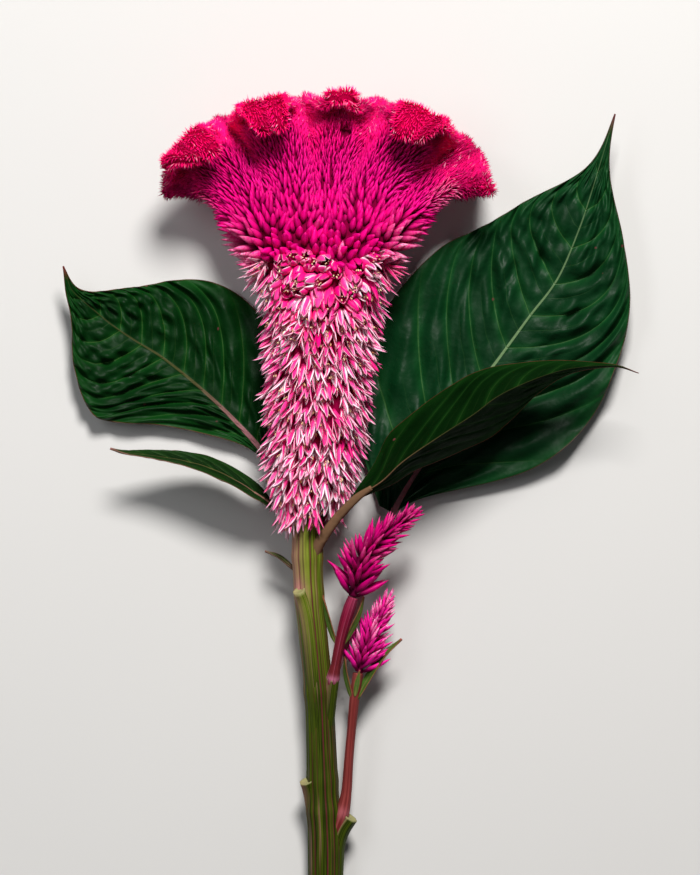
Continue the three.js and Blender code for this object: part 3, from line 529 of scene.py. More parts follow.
def leaf_finish(name, blade, between, underside, vein_colour, rib_foot, rib_tip, margin, veins, sheen=0.15):
    """Glossy green with lighter side veins and fainter ones between them, soft wrinkles, a coloured
    midrib and margin, a red tip, and a few mauve spots."""
    look = Finish(name, sheen)
    across, vein_count = look.uv()
    out = abs(across)
    place, row, edge = object_place(look.tree), look.mark("row"), look.mark("margin")
    wander = noise(place, 70.0) - 0.5
    main = (wander * 0.06 + vein_count).math("PINGPONG", 0.5)
    faint = (wander * 0.3 + (vein_count + 0.46)).math("PINGPONG", 0.5)
    vein = ramp(main, 0.004, 0.03, 1, 0) * ramp(out, 0.6, 0.95, 1, 0.2)
    minor = ramp(faint, 0.004, 0.02, 1, 0) * ramp(out, 0.2, 0.7, 0.35, 0)
    vein = vein.math("MAXIMUM", minor)
    rib = ramp(look.mark("rib"), 0.75, 1.1, 1, 0) * ramp(row, 0.4, 0.95, 1, 0.35)
    green = blend(ramp(main, 0, 0.24, 0.7, 0), blade, between)
    green = blend(ramp(edge, 0.5, 7, 0.7, 0), green, between)
    green = blend(look.mark("under"), green, underside)
    green = look.mottled(blend(vein * veins, green, vein_colour), 60, 0.5)
    apart = node(look.tree, "TexVoronoi", "Distance", {"Vector": place, "Scale": 105.0})
    chosen = node(look.tree, "SeparateColor", 0, {"Color": apart.other("Color")})
    spot = ramp(apart, 0.04, 0.085, 1, 0) * ramp(chosen, 0.6, 0.64)
    green = blend(spot * 0.7, green, (110, 50, 58))
    green = blend(rib, green, blend(ramp(row, 0.08, 0.42), rib_foot, rib_tip))
    red = ramp(edge, 0.1, 0.45, 0.6, 0).math("MAXIMUM", ramp(row, 0.94, 1))
    gloss = ramp(noise(place, 160), 0.3, 0.7, 0.42, 0.58)
    wrinkles = noise(place, 170) * 1.2 + vein * -0.25
    return look.done(blend(red, green, margin), 1100, 0.1, wrinkles, rib * 0.12 + gloss)


# Turns of the stem's magenta lines, in radians from its top towards the left, half width, and strength.
STEM_LINES = [
    (0.66, 0.06, 0.6), (0.3, 0.04, 0.35), (-0.17, 0.06, 0.85), (-0.42, 0.04, 0.5), (-0.62, 0.05, 0.7),
    (-0.95, 0.05, 0.45), (-1.36, 0.11, 0.7), (1.2, 0.09, 0.6), (1.9, 0.08, 0.6), (2.6, 0.07, 0.5),
    (-2.1, 0.08, 0.6), (-2.8, 0.08, 0.6),
]


def stem_finish(name, deep, light, low_deep, low_light, line_colour, blush):
    """Ribbed stem, darker lower down: fine green lines along it, a few magenta lines at set turns round
    it, a blush where the mark says so, and a pale cut face."""
    look = Finish(name, 0.07)
    turn = look.mark("turn_side").math("ARCTAN2", look.mark("turn_top"))
    run = node(look.tree, "SeparateXYZ", "Y", {"Vector": object_place(look.tree)})
    lines = noise(vector(turn * 7, run * 22), 1, 3, 0.65)
    streaks = noise(vector(turn * 4, run * 14, 5), 1)
    fresh = ramp(run, -0.075, -0.02)
    skin = blend(ramp(lines, 0.36, 0.64), blend(fresh, low_deep, deep), blend(fresh, low_light, light))
    skin = blend(ramp(streaks, 0.6, 0.7, 0, 0.3), skin, blush)
    skin = blend(look.mark("blush"), skin, blush)
    drawn = reduce(lambda a, b: a.math("MAXIMUM", b), [
        ramp(abs(turn - centre), width * 0.35, width, strength, 0) for centre, width, strength in STEM_LINES])
    drawn = drawn * look.mark("lined") * ramp(streaks, 0.25, 0.5, 0.55, 1)
    skin = look.mottled(blend(drawn, skin, line_colour), 110, 0.2)
    skin = blend(look.mark("cut"), skin, (150, 146, 100))
    return look.done(skin, 1200, 0.08, lines * 0.28, ramp(lines, 0.3, 0.7, 0.4, 0.56))


def floret_finish():
    """Papery tepals: hot pink along the keel, nearly white at the margins and tips, with fine streaks."""
    look = Finish("floret_tepal", 0.15)
    side, along = look.uv()
    shade, white = look.mark("shade"), look.mark("white")
    streaks = noise(vector(side * 13, along * 1.6, shade * 40), 1)
    place = along * 0.1 + (white * 0.3 + ((streaks - 0.5) * 1.25 + side))
    pale = ramp(place, 0.24, 0.56) * ramp(along, 0, 0.3, 0.2, 1)
    pink = blend(shade, (246, 64, 156), (228, 6, 106))
    pink = blend(ramp(white, -0.7, -0.1, 1, 0), pink, (222, 0, 116))
    tepal = blend(pale, pink, blend(shade, (255, 246, 250), (255, 208, 228)))
    tepal = blend(ramp(along, 0, 0.35, 0.7, 0), tepal, (216, 30, 108))
    tepal = look.mottled(tepal, 700, 0.12, shade)
    return look.done(tepal, 1800, 0.14, roughness=ramp(streaks, 0.3, 0.7, 0.4, 0.6))


def bud_finish(name, colour, deep, tip):
    """Closed buds: a deep foot, painted shade where they crowd together, lighter ridges where two tepals
    meet, partly their own colour and partly painted highlight towards the tips, and paler tips where marked.
    """
    look = Finish(name, 0.1)
    ridge, along = look.uv()
    streaks = noise(object_place(look.tree), 1300)
    skin = blend(look.mark("scarlet"), colour, (238, 6, 84))
    # Painted shade: the deep colour at each bud's foot, where buds crowd.
    skin = blend(ramp(along, 0.1, 0.65), deep, skin)
    # Lighter ridges: partly the tepals' own edges, partly painted highlight near the tips.
    skin = blend(ramp(ridge, 0.6, 1) * ramp(along, 0.2, 0.9) * 0.3, skin, tip)
    tipped = look.mark("pale") * ramp(along, 0.25, 0.9) * ramp(streaks, 0.3, 0.6)
    skin = look.mottled(blend(tipped, skin, (255, 200, 224)), 500, 0.22, look.mark("shade"))
    return look.done(skin, 1500, 0.12, roughness=ramp(streaks, 0.3, 0.7, 0.42, 0.6))


def bristle_finish():
    """Fur of the crest: hot pink at its foot, scarlet along the rolled edge. Each bristle is darker at its
    foot, painted shade deep in the fur, and lighter pink towards its tip, partly its own colour and partly
    painted sheen, with paler tips where marked.
    """
    look = Finish("crest_scarlet", 0.08, 0.7)
    _, along = look.uv()
    skin = blend(look.mark("scarlet"), (208, 0, 100), (254, 4, 106))
    # Painted shade: each bristle darker at its foot, deep in the fur.
    skin = blend(ramp(along, 0, 0.6, 0.35, 0), skin, (150, 0, 54))
    # Lighter pink towards the tips: partly their own colour, partly painted sheen.
    skin = blend(ramp(along, 0.5, 1, 0, 0.5), skin, (252, 36, 142))
    skin = blend(look.mark("pale") * ramp(along, 0, 0.8), skin, (255, 176, 206))
    # The shade mark brings painted shade from the crest's creases and sides.
    return look.done(look.mottled(skin, 160, 0.5, look.mark("shade")), 1200, 0.2)


def flesh_painted_shade_finish():
    """Flesh of the head, seen only in the gaps and painted as the shade in them: dark crimson on the
    spike, deep magenta on the fan, dark red above, and nearly black in the fan's hollow.
    """
    look = Finish("head_flesh_painted_shade", 0.02, 0.8)
    stage = look.mark("stage")
    skin = blend(ramp(stage, 0.8, 1.3), (128, 4, 54), (112, 0, 46))
    skin = blend(ramp(stage, 2, 2.5), skin, (150, 0, 50))
    # Painted shade: the hollow, marked by stage 0, is nearly black.
    skin = blend(ramp(stage, 0.001, 0.002, 1, 0), skin, (40, 0, 14))
    return look.done(look.mottled(skin, 300, 0.3), 700, 0.5)


def anther_finish():
    """Dried anthers and styles: cream to gold brown."""
    look = Finish("anther_cream", 0.3, 0.6)
    return look.done(look.mottled(blend(look.mark("shade"), (252, 232, 186), (200, 128, 76)), 900, 0.2))


def floor_finish():
    look = Finish("pale_floor", 0.15, 0.85)
    return look.done(look.mottled(linear(205, 204, 202), 4, 0.02))


# Head: the formulas of its sheet and core
#
# Across runs from the head's left side, -1, to its right side, 1. Stage runs from the foot of the spike, 0,
# to the foot of the fan, 1, of the crest, 2, and to the crest's edge, 3.

def lean_at(across):
    """Lean of the crest, -1 back to 1 forwards, eased from fold to fold."""
    x, y = FOLDS.T
    i = np.clip(np.searchsorted(x, across), 1, len(x) - 1)
    return mix(y[i - 1], y[i], ease((across - x[i - 1]) / (x[i] - x[i - 1])))


def ruffle(across, stage):
    """Small lumps of the crest, parted by creases, that grow towards its edge: two |sin|^0.7 across."""
    lumps = np.abs(np.sin(19 * across + 1.6 * np.sin(5 * across))) ** 0.7
    lumps = lumps + 0.6 * np.abs(np.sin(33 * across + 2 * np.sin(7 * across) + 1)) ** 0.7
    return 2.4 * (lumps - 1.1) * ease((stage - 2.1) / 0.75) * (1 - across ** 6)


def sheet(across, stage):
    """The head's middle sheet: the spike widens along a cubic, the fan follows a quadratic Bezier from
    the spike to the foot of the crest, and the crest turns over on an arc whose angle follows the lean."""
    across, stage = np.broadcast_arrays(np.asarray(across, float), np.asarray(stage, float))
    flat = 0 * across
    rise = np.sin(np.pi / 2 * clamp(stage))
    spike = mix(SPIKE_BASE, FAN_FOOT, np.stack([rise, clamp(stage), rise], -1))
    spike = spike + np.stack([listed(SPIKE_HALF_WIDTHS, stage) * across, flat, flat], -1)
    lean = lean_at(across)
    roll = np.abs(lean) * np.where(lean > 0, ROLL_FORWARD, ROLL_BACK) + 1e-3
    radius = mix(*ROLL_LENGTH, np.abs(lean)) / roll
    reach = radius * np.sin(np.minimum(roll, np.pi / 2)) + CREST_HALF_THICKNESS + CREST_BRISTLE
    angle = np.pi / 2 * (1 - across)
    out = np.stack([np.cos(angle), np.sin(angle), flat], -1)
    foot = RIM_CENTRE + RIM_HALF_SIZE * out - reach[..., None] * out
    wave = lean * np.where(lean > 0, *FOLD_DEPTH)
    q = clamp(stage - 1)[..., None]
    start = FAN_FOOT + np.stack([SPIKE_HALF_WIDTHS[-1] * across, flat, flat], -1)
    spread = FAN_SPREAD * across
    towards = np.stack([np.sin(spread), np.cos(spread), flat], -1)
    bend = start + 0.5 * np.linalg.norm(start - foot, axis=-1, keepdims=True) * towards
    fan = start * (1 - q) ** 2 + bend * 2 * q * (1 - q) + foot * q * q
    fan[..., 2] = FAN_FOOT[2] + wave * q[..., 0] ** 2.2
    turned = roll * np.maximum(stage - 2, 0)
    crest = foot + out * (radius * np.sin(turned))[..., None]
    crest[..., 2] = FAN_FOOT[2] + wave + np.sign(lean) * radius * (1 - np.cos(turned))
    raised = out * np.sin(turned)[..., None] - UP * (np.cos(turned) * np.clip(3 * lean, -1, 1))[..., None]
    crest = crest + ruffle(across, stage)[..., None] * raised
    return by_part(stage[..., None], spike, fan, crest)


def by_part(stage, spike, fan, crest):
    """What holds for the part of the head that a stage lies in."""
    return np.where(stage <= 1, spike, np.where(stage <= 2, fan, crest))


def sheet_normal(across, stage):
    """Normal of the sheet towards the front, from differences over a short stretch."""
    reach, climb = (mix(0.002, most, ease(stage - 1)) for most in (0.035, 0.08))
    sideways = sheet(np.minimum(1, across + reach), stage) - sheet(np.maximum(-1, across - reach), stage)
    along = sheet(across, np.minimum(3, stage + climb)) - sheet(across, np.maximum(0, stage - climb))
    return unit(np.cross(sideways, along))


def core_half_depth(stage):
    """Half the core's depth, which ends in a round edge along the crest."""
    base, top = SPIKE_HALF_DEPTH
    spike = mix(base, top, np.sin(np.pi / 2 * clamp(stage) ** 0.6))
    fan = mix(top, FAN_HALF_DEPTH, ease(0.12 + 0.88 * (stage - 1)) ** 0.8)
    crest = mix(FAN_HALF_DEPTH, CREST_HALF_THICKNESS, ease((stage - 2) * 1.6))
    crest = crest * np.sqrt(1 - clamp((stage - 3 + CREST_EDGE) / CREST_EDGE) ** 2)
    return by_part(stage, spike, fan, crest)


def side_of(around):
    """How far across the head a place round the core is, from -1 to 1, and whether it is in front."""
    around = around % 2
    return np.where(around <= 1, 2 * around - 1, 3 - 2 * around), around <= 1


def core(around, stage):
    """A point on the head's fleshy core: the sheet with a depth to each side whose section is a
    superellipse, |across|^p + |depth|^p = 1. around runs over the front from 0 to 1, and back to 2."""
    around, stage = np.broadcast_arrays(np.asarray(around, float), np.asarray(stage, float))
    k, front = side_of(around)
    across = mix(k, np.sin(k * np.pi / 2), mix(1, 0.15, ease(1.6 * (stage - 1))))
    power = mix(2, 7, ease(stage - 1))
    section = np.maximum(0, 1 - np.abs(across) ** power) ** (1 / power)
    depth = core_half_depth(stage) * section * np.where(front, 1, -1)
    return sheet(across, stage) + sheet_normal(across, stage) * depth[..., None]


def scattered(rng, first, last, spacing):
    """Places for florets over the core between two stages, as around and stage: staggered rows whose
    distance and number follow the wanted spacing in millimetres at each stage, with a small scatter."""
    around, stages = [], []
    places = np.linspace(0, 2, 400)
    places = places - np.sin(TURN * places) / TURN  # closest together at the thin sides
    stage = first
    shift = 0.0
    while stage < last:
        gap = spacing(stage)
        run = lengths(core(places, stage))
        count = max(6, int(round(run[-1] / gap)))
        even = ((np.arange(count) + shift + rng.uniform(-0.22, 0.22, count)) % count) / count
        around.append(np.interp(even, run / run[-1], places))
        climb = np.linalg.norm(core(0.5, min(3, stage + 0.01)) - core(0.5, stage - 0.01)) / 0.02
        step = ROW_SHARE * gap / climb
        stages.append(stage + step * rng.uniform(-0.25, 0.25, count))
        stage += step
        shift = 0.5 - shift
    return np.concatenate(around), np.clip(np.concatenate(stages), 0.003, 2.995)


def growing(rng, around, stage, lean, scatter):
    """Foot, axis and two cross directions of florets: the axis turns by the lean from straight out, 0,
    to along the head, 90, with a random scatter in degrees."""
    reach = 6e-3
    ringwise = core(around + reach, stage) - core(around - reach, stage)
    growth = unit(core(around, np.minimum(3, stage + reach)) - core(around, np.maximum(0, stage - reach)))
    outward = unit(np.cross(ringwise, growth))
    turned = np.radians(lean + scatter * rng.standard_normal(len(around)))[:, None]
    sideways = np.cross(outward, growth)
    axis = outward * np.cos(turned) + growth * np.sin(turned)
    axis = unit(axis + sideways * (np.radians(scatter) * rng.standard_normal(len(around)))[:, None])
    first = unit(np.cross(axis, sideways))
    return core(around, stage), axis, first, np.cross(axis, first)


def clear_of_hollow(around, stage):
    """Which places on the core lie outside the small dark hollow in the front of the fan."""
    x, y, radius = FAN_HOLLOW
    points = core(around, stage)
    return (np.hypot(points[..., 0] - x, points[..., 1] - y) > radius) | ~(around % 2 < 1)


# Repeated shapes

def tepals(piece, foot, axis, first, second, length, width, opening, closing, shade, white, turn):
    """Boat-shaped tepals round the axes of florets. The centre line leaves the axis by an angle that
    grows along it, opening * (0.3 + 0.7 s), or swings back to close a barrel, opening * (1.6 - 3.1 s).
    Each ring has a keel, two flanks, two margins and a hollow inner middle. All inputs are per tepal."""
    radial = first * np.cos(turn)[:, None] + second * np.sin(turn)[:, None]
    tangent = np.cross(axis, radial)
    fine = np.linspace(0, 1, TEPAL_STEPS + 1)
    bend = opening[:, None] * mix(0.3 + 0.7 * fine, 1.6 - 3.1 * fine, closing[:, None])
    out, rise = (np.cumsum(f(bend), 1) / TEPAL_STEPS for f in (np.sin, np.cos))
    out, rise = out - out[:, :1], rise - rise[:, :1]
    at = np.round(np.r_[TEPAL_SHARES, 1.0] * TEPAL_STEPS).astype(int)
    length, width = length[:, None, None], width[:, None]
    centre = foot[:, None] + radial[:, None] * (0.3 * width[..., None] + length * out[:, at, None])
    centre = centre + axis[:, None] * length * rise[:, at, None]
    angle = bend[:, at][..., None]
    outer = radial[:, None] * np.cos(angle) - axis[:, None] * np.sin(angle)
    half = (0.5 * width * TEPAL_OUTLINE)[..., None]
    sideways = np.array([0.0, 0.68, 1.0, 0.0, -1.0, -0.68])
    lift = np.array([1.0, 0.7, -0.15, 0.4, -0.15, 0.7]) * TEPAL_KEEL
    rings = (centre[:, :-1, None] + tangent[:, None, None] * (half * sideways)[..., None]
             + outer[:, :-1, None] * (half * lift)[..., None])
    base = np.array([[0, 5, 1], [5, 4, 1], [4, 2, 1], [4, 3, 2]])
    side = np.r_[np.tile([0.0, 0.25, 0.5, 0.16, 0.5, 0.25], len(TEPAL_SHARES)), 0.4]
    pointed(piece, rings, centre[:, -1], base, side, TEPAL_SHARES, shade=shade, white=white)


def spindles(piece, foot, axis, first, second, length, radius, profile, sides, bow, **marks):
    """Pointed bodies with round sections: radius * profile(s) along an axis that bows sideways by
    bow * s^2, with every other side raised into a ridge. All inputs are per spindle."""
    shares = np.arange(len(profile)) / len(profile)
    i = np.arange(sides)
    turn = i / sides * TURN
    ring = first[:, None] * np.cos(turn)[:, None] + second[:, None] * np.sin(turn)[:, None]
    ring = ring * np.where(i % 2, 0.9, 1.1)[:, None]
    length, bow = length[:, None], np.reshape(bow, (-1, 1))
    centre = (foot[:, None] + axis[:, None] * (length * shares)[..., None]
              + first[:, None] * (bow * shares ** 2)[..., None])
    rings = centre[:, :, None] + ring[:, None] * (radius[:, None] * np.asarray(profile))[..., None, None]
    base = np.stack([0 * i[2:], i[2:], i[1:-1]], -1)
    ridge = np.r_[np.tile(np.where(i % 2, 0.0, 1.0), len(profile)), 0.5]
    pointed(piece, rings, foot + axis * length + first * bow, base, ridge, shares, **marks)


def pointed(piece, rings, tip, base, across, shares, **marks):
    """Add copies of a shape of rings that ends in a tip and has a base over its first ring. across is
    the first texture value at each point of one shape, and shares says how far along each ring is."""
    n, rows, sides, _ = rings.shape
    points = np.concatenate([rings.reshape(n, -1, 3), tip[:, None]], 1)
    count = points.shape[1]
    i = np.arange(sides)
    last = (rows - 1) * sides
    end = np.stack([last + i, last + (i + 1) % sides, np.full(sides, count - 1)], -1)
    uv = np.stack([across, np.r_[np.repeat(shares, sides), 1.0]], -1)
    piece.add(
        points, repeated(ring_quads(rows, sides), count, n), repeated(np.vstack([end, base]), count, n),
        np.broadcast_to(uv, (n, count, 2)),
        **{name: np.repeat(value, count) if np.ndim(value) else value for name, value in marks.items()},
    )


def tube(piece, line, rings, sides, radius, up=UP, sunk=0.0, **marks):
    """A tube along a line. radius(share, angle) and the marks are arrays of rings by sides, and the
    angle runs from the side, over the top at a quarter turn. A sunk end has a rim and a hollow."""
    share, inset, depth = np.linspace(0, 1, rings), np.ones(rings), np.zeros(rings)
    if sunk:
        share = np.r_[share, 1, 1, 1]
        inset = np.r_[inset, 0.84, 0.7, 0.2]
        depth = np.r_[depth, 0.0, sunk, 1.3 * sunk]
    share = share[:, None] * np.ones(sides)
    angle = np.arange(sides) / sides * TURN * np.ones((len(share), 1))
    at, along, above, side = line.frame(share, up)
    r = (radius(share, angle) * inset[:, None])[..., None]
    points = at + side * r * np.cos(angle)[..., None] + above * r * np.sin(angle)[..., None]
    quads, triangles = closed_faces(*share.shape)
    piece.add(
        points - along * depth[:, None, None], quads[:, ::-1], triangles[:, ::-1],
        **{name: value(share, angle) if callable(value) else value for name, value in marks.items()},
    )


# Leaves and stem

def blade(piece, midrib, stalk, face, right, left, veins, quilt, rib, keel, grid, lobe=0):
    """A leaf blade as one closed sheet over the row, from base to tip, and across, from -1 to 1.
    Each row curves towards the tip by sweep * (0.9 |across| + 0.55 |across|^2.2) * (1 - row), the surface
    sags by droop * width^2, and it is quilted by |sin| between the side veins, which lie in its valleys."""
    rows, columns = grid
    s = np.linspace(-1, 1, 2 * columns + 1)
    signed = np.sign(s) * (0.5 - 0.5 * np.cos(np.pi * np.abs(s)))
    row, across = np.meshgrid(np.linspace(0, 1, rows), signed, indexing="ij")
    out = np.abs(across)
    swept = VEIN_SWEEP * (0.9 * out + 0.55 * out ** 2.2) * (1 - row) * (1 - (1 - clamp(row / 0.32)) ** 2)
    share = clamp(row + swept - np.where(across > 0, 0, lobe) * out * (1 - row) ** 6)
    at, _, above, side = Line(midrib).frame(mix(stalk, 1, share), unit(np.array(face, float)), 0.06)
    full = np.where(across > 0, *(np.maximum(0.3, listed(widths, share)) for widths in (right[0], left[0])))
    full = full * mix(0.15, 1, np.sqrt(clamp(1 - (1 - clamp(row / 0.05)) ** 2)))
    width = full * out
    lift = np.radians(np.where(across > 0, right[1], left[1]))
    phase = row * (veins + 0.5)
    ripple = np.sin(6.3 * phase + 1.5 * np.sin(9 * out)) * 0.42
    ripple = ripple * np.sin(15 * out + 1.7 * phase + 3 * np.sin(phase))
    ripple = ripple + 0.3 * np.sin(4.1 * phase + 7 * across) * np.sin(2.3 * phase - 23 * out)
    crease = 0.16 * hump(phase % 1, 0.54, 0.07) * (1 - out)
    bulge = quilt * (np.abs(np.sin(np.pi * phase)) ** 0.55 - 0.62 + ripple - crease)
    swell = np.minimum(1, 3.5 * out) * (1 - 0.72 * out) * clamp(full / 8)
    wave = 0.012 * quilt * full * out ** 3 * np.sin(5.3 * phase + 2 * across) * (1 - row)
    height = bulge * swell + wave - BLADE_DROOP * width ** 2
    centre = at + side * (np.sign(across) * width * np.cos(lift))[..., None]
    centre = centre + above * (width * np.sin(lift) + height)[..., None]
    top, under = mix(*rib, row ** 0.5), mix(*keel, row)
    crest = np.sqrt(clamp(1 - (width / (1.15 * top)) ** 2))
    ridge = np.sqrt(clamp(1 - (width / (1.3 * under)) ** 2)) * clamp(row / 0.02 + 0.6)
    thick = BLADE_THICKNESS / 2 * np.sqrt(np.maximum(0, 1 - out ** 8)) / np.cos(lift)

    def both(upper, lower):
        return np.concatenate([upper, lower[:, -2:0:-1]], 1)

    points = both(centre + above * (thick + 0.42 * top * crest)[..., None],
                  centre - above * (thick + under * ridge)[..., None])
    uv = np.stack([across, phase], -1)
    margin = full - width + 2 * (row < 0.02)
    piece.add(
        points, *closed_faces(rows, points.shape[1]), both(uv, uv),
        row=both(row, row), margin=both(margin, margin), under=both(0 * row, 0 * row + 1),
        rib=both(np.minimum(4, width / top), np.minimum(4, width / under)),
    )


def leaf(name):
    """A stem leaf: its blade, and its stalk, which widens into the stem and is grooved on top."""
    shape = LEAVES[name]
    piece = Piece()
    blade(piece, **shape)
    inner, outer, radii = LEAF_STALKS[name]
    line = Line([*inner, *shape["midrib"][len(inner) - 1:len(radii) - 2], outer])
    tube(
        piece, line, 60, 16,
        lambda share, angle: np.interp(share, line.knots, radii) * (1 - 0.2 * hump(angle, np.pi / 2, 0.45)),
        unit(np.array(shape["face"], float)), row=lambda share, angle: 0.04 * share,
        margin=lambda share, angle: 5 * clamp(0.45 + np.sin(angle - 0.5)),
    )
    return piece


# The turn round a stem that faces the other way than its tube runs, as marks for stem_finish.
ROUND = dict(turn_side=lambda share, angle: -np.cos(angle), turn_top=lambda share, angle: np.sin(angle))


def stem_piece():
    """The stem: radius + fine ribs, cosines round it. Leaf bases that were cut off run up it as low
    ridges, and each ends in a stub with a pale rim round a hollow."""
    piece = Piece()
    steps = np.linspace(0, 1, len(STEM))

    def radius(share, angle):
        ribs = 0.17 * np.cos(10 * angle) + 0.09 * np.cos(23 * angle + 6 * share)
        ribs = ribs + 0.07 * np.sin(3 * angle + 9 * share)
        nodes = sum(swelling * hump(share, place, 0.02) for place, swelling in STEM_NODES)
        return np.interp(share, steps, STEM[:, 3]) + ribs + nodes

    def blush(share, angle):
        left = clamp(0.15 + np.cos(angle))
        patch = hump(share, 0.185, 0.035) * clamp(np.cos(angle - 0.7)) ** 4
        return clamp(0.62 * left ** 2 * (1 - ease((share - 0.1) / 0.12)) + 0.9 * patch)

    tube(
        piece, Line(STEM[:, :3]), 250, 96, radius, sunk=0.35, lined=1.0, blush=blush,
        turn_side=lambda share, angle: np.cos(angle), turn_top=ROUND["turn_top"],
        cut=lambda share, angle: 1.0 * (share > 0.9995),
    )
    for points, radii in STUBS:
        ridge = Line(points)
        tube(
            piece, ridge, 64, 24,
            lambda share, angle: np.interp(share, ridge.knots, radii) * (1 + 0.05 * np.cos(7 * angle)),
            sunk=0.4,
            blush=lambda share, angle: 0.45 * ease((share - 0.5) * 2) * clamp(-np.cos(angle)),
            cut=lambda share, angle: 0.8 * (share > 0.9995), **ROUND,
        )
    return piece


def shoot_stalk(shape):
    """The ribbed stalk of a side shoot, thicker at its foot and its nodes, with a blush at its collar."""
    piece = Piece()
    line = Line(shape["stalk"])

    def radius(share, angle):
        smooth = np.interp(share, line.knots, shape["radius"])
        return smooth + 0.1 * np.cos(6 * angle) + 0.05 * np.cos(13 * angle)

    def blush(share, angle):
        return 0.6 * hump(share, line.knots[SHOOT_COLLAR], 0.03) + 0.08 * ease((share - 0.8) * 5)

    tube(piece, line, 110, 40, radius, lined=0.8, blush=blush, **ROUND)
    return piece


def shoot_leaves(shape):
    piece = Piece()
    for midrib, face, width in shape["leaves"]:
        half = ([w * width for w in (0.6, 0.9, 1, 0.7, 0.2)], 16)
        blade(
            piece, midrib, 0, face, half, half,
            veins=2, quilt=0, rib=(0.5, 0.2), keel=(0.7, 0.35), grid=(40, 7),
        )
    return piece


def shoot_buds(shape):
    """The small spike: a core, and buds in a spiral of golden angles whose length and girth shrink
    towards its tip."""
    rng = np.random.default_rng(shape["seed"])
    piece = Piece()
    line = Line(shape["spike"])
    tube(piece, line, 40, 20, lambda share, angle: listed(shape["spike_radius"], share), shade=0.2)
    n = shape["buds"]
    share = np.linspace(0.0, 1.0, n) ** 0.85
    angle = np.arange(n) * GOLDEN_ANGLE + 0.2 * rng.standard_normal(n)
    at, along, above, side = line.frame(share)
    outward = side * np.cos(angle)[:, None] + above * np.sin(angle)[:, None]
    lean = np.radians(mix(*shape["lean"], share) + 7 * rng.standard_normal(n))[:, None]
    axis = unit(outward * np.cos(lean) + along * np.sin(lean))
    first = unit(np.cross(axis, np.cross(outward, along)))
    foot = at + outward * (0.6 * listed(shape["spike_radius"], share))[:, None]
    length = mix(*shape["length"], share ** 0.8) * rng.uniform(0.86, 1.14, n)
    girth = mix(*shape["girth"], share ** 0.7) * rng.uniform(0.9, 1.1, n)
    pale = shape["pale"] * (rng.uniform(0, 1, n) < 0.2 + 0.5 * share)
    spindles(
        piece, foot, axis, first, np.cross(axis, first), length, girth, [0.42, 0.66, 0.94, 1.0, 0.8, 0.45], 6,
        -0.08 * length, shade=rng.uniform(0, 1, n), pale=pale,
    )
    return piece


# Head: its flesh, florets, buds and bristles

def clear_of_leaves(points, reach):
    """Which points lie further than reach from the leaves' upper and lower faces."""
    near = np.zeros(len(points), bool)
    for piece in LEAF_PIECES.values():
        skin = np.concatenate(piece.points)[::3]
        inside = np.flatnonzero(np.all((points > skin.min(0) - reach) & (points < skin.max(0) + reach), axis=1))
        for chosen in np.array_split(inside, len(inside) // 200 + 1):
            gaps = np.linalg.norm(points[chosen, None] - skin[None], axis=-1).min(1)
            near[chosen] |= gaps < reach
    return ~near


def flesh():
    """The bare core of the head, under its florets, buds and bristles, sunk in at the fan's hollow."""
    piece = Piece()
    stages = np.r_[
        np.linspace(0, 1, 26, endpoint=False), np.linspace(1, 2, 34, endpoint=False),
        np.linspace(2, 3 - CREST_EDGE, 22, endpoint=False),
        3 - CREST_EDGE * np.cos(np.linspace(0.02, 1, 9) * np.pi / 2),
    ]
    stages[-1] = 2.999
    around = np.linspace(0, 2, 260, endpoint=False)
    around = around - 0.6 * np.sin(TURN * around) / TURN
    stage, around = np.meshgrid(stages, around, indexing="ij")
    points = core(around, stage)
    inside = ~clear_of_hollow(around, stage)
    points[..., 2] -= 3.0 * inside
    # Stage 0 marks the hollow for its near-black painted shade.
    piece.add(points, *closed_faces(*stage.shape), stage=np.where(inside, 0.0, stage))
    return piece


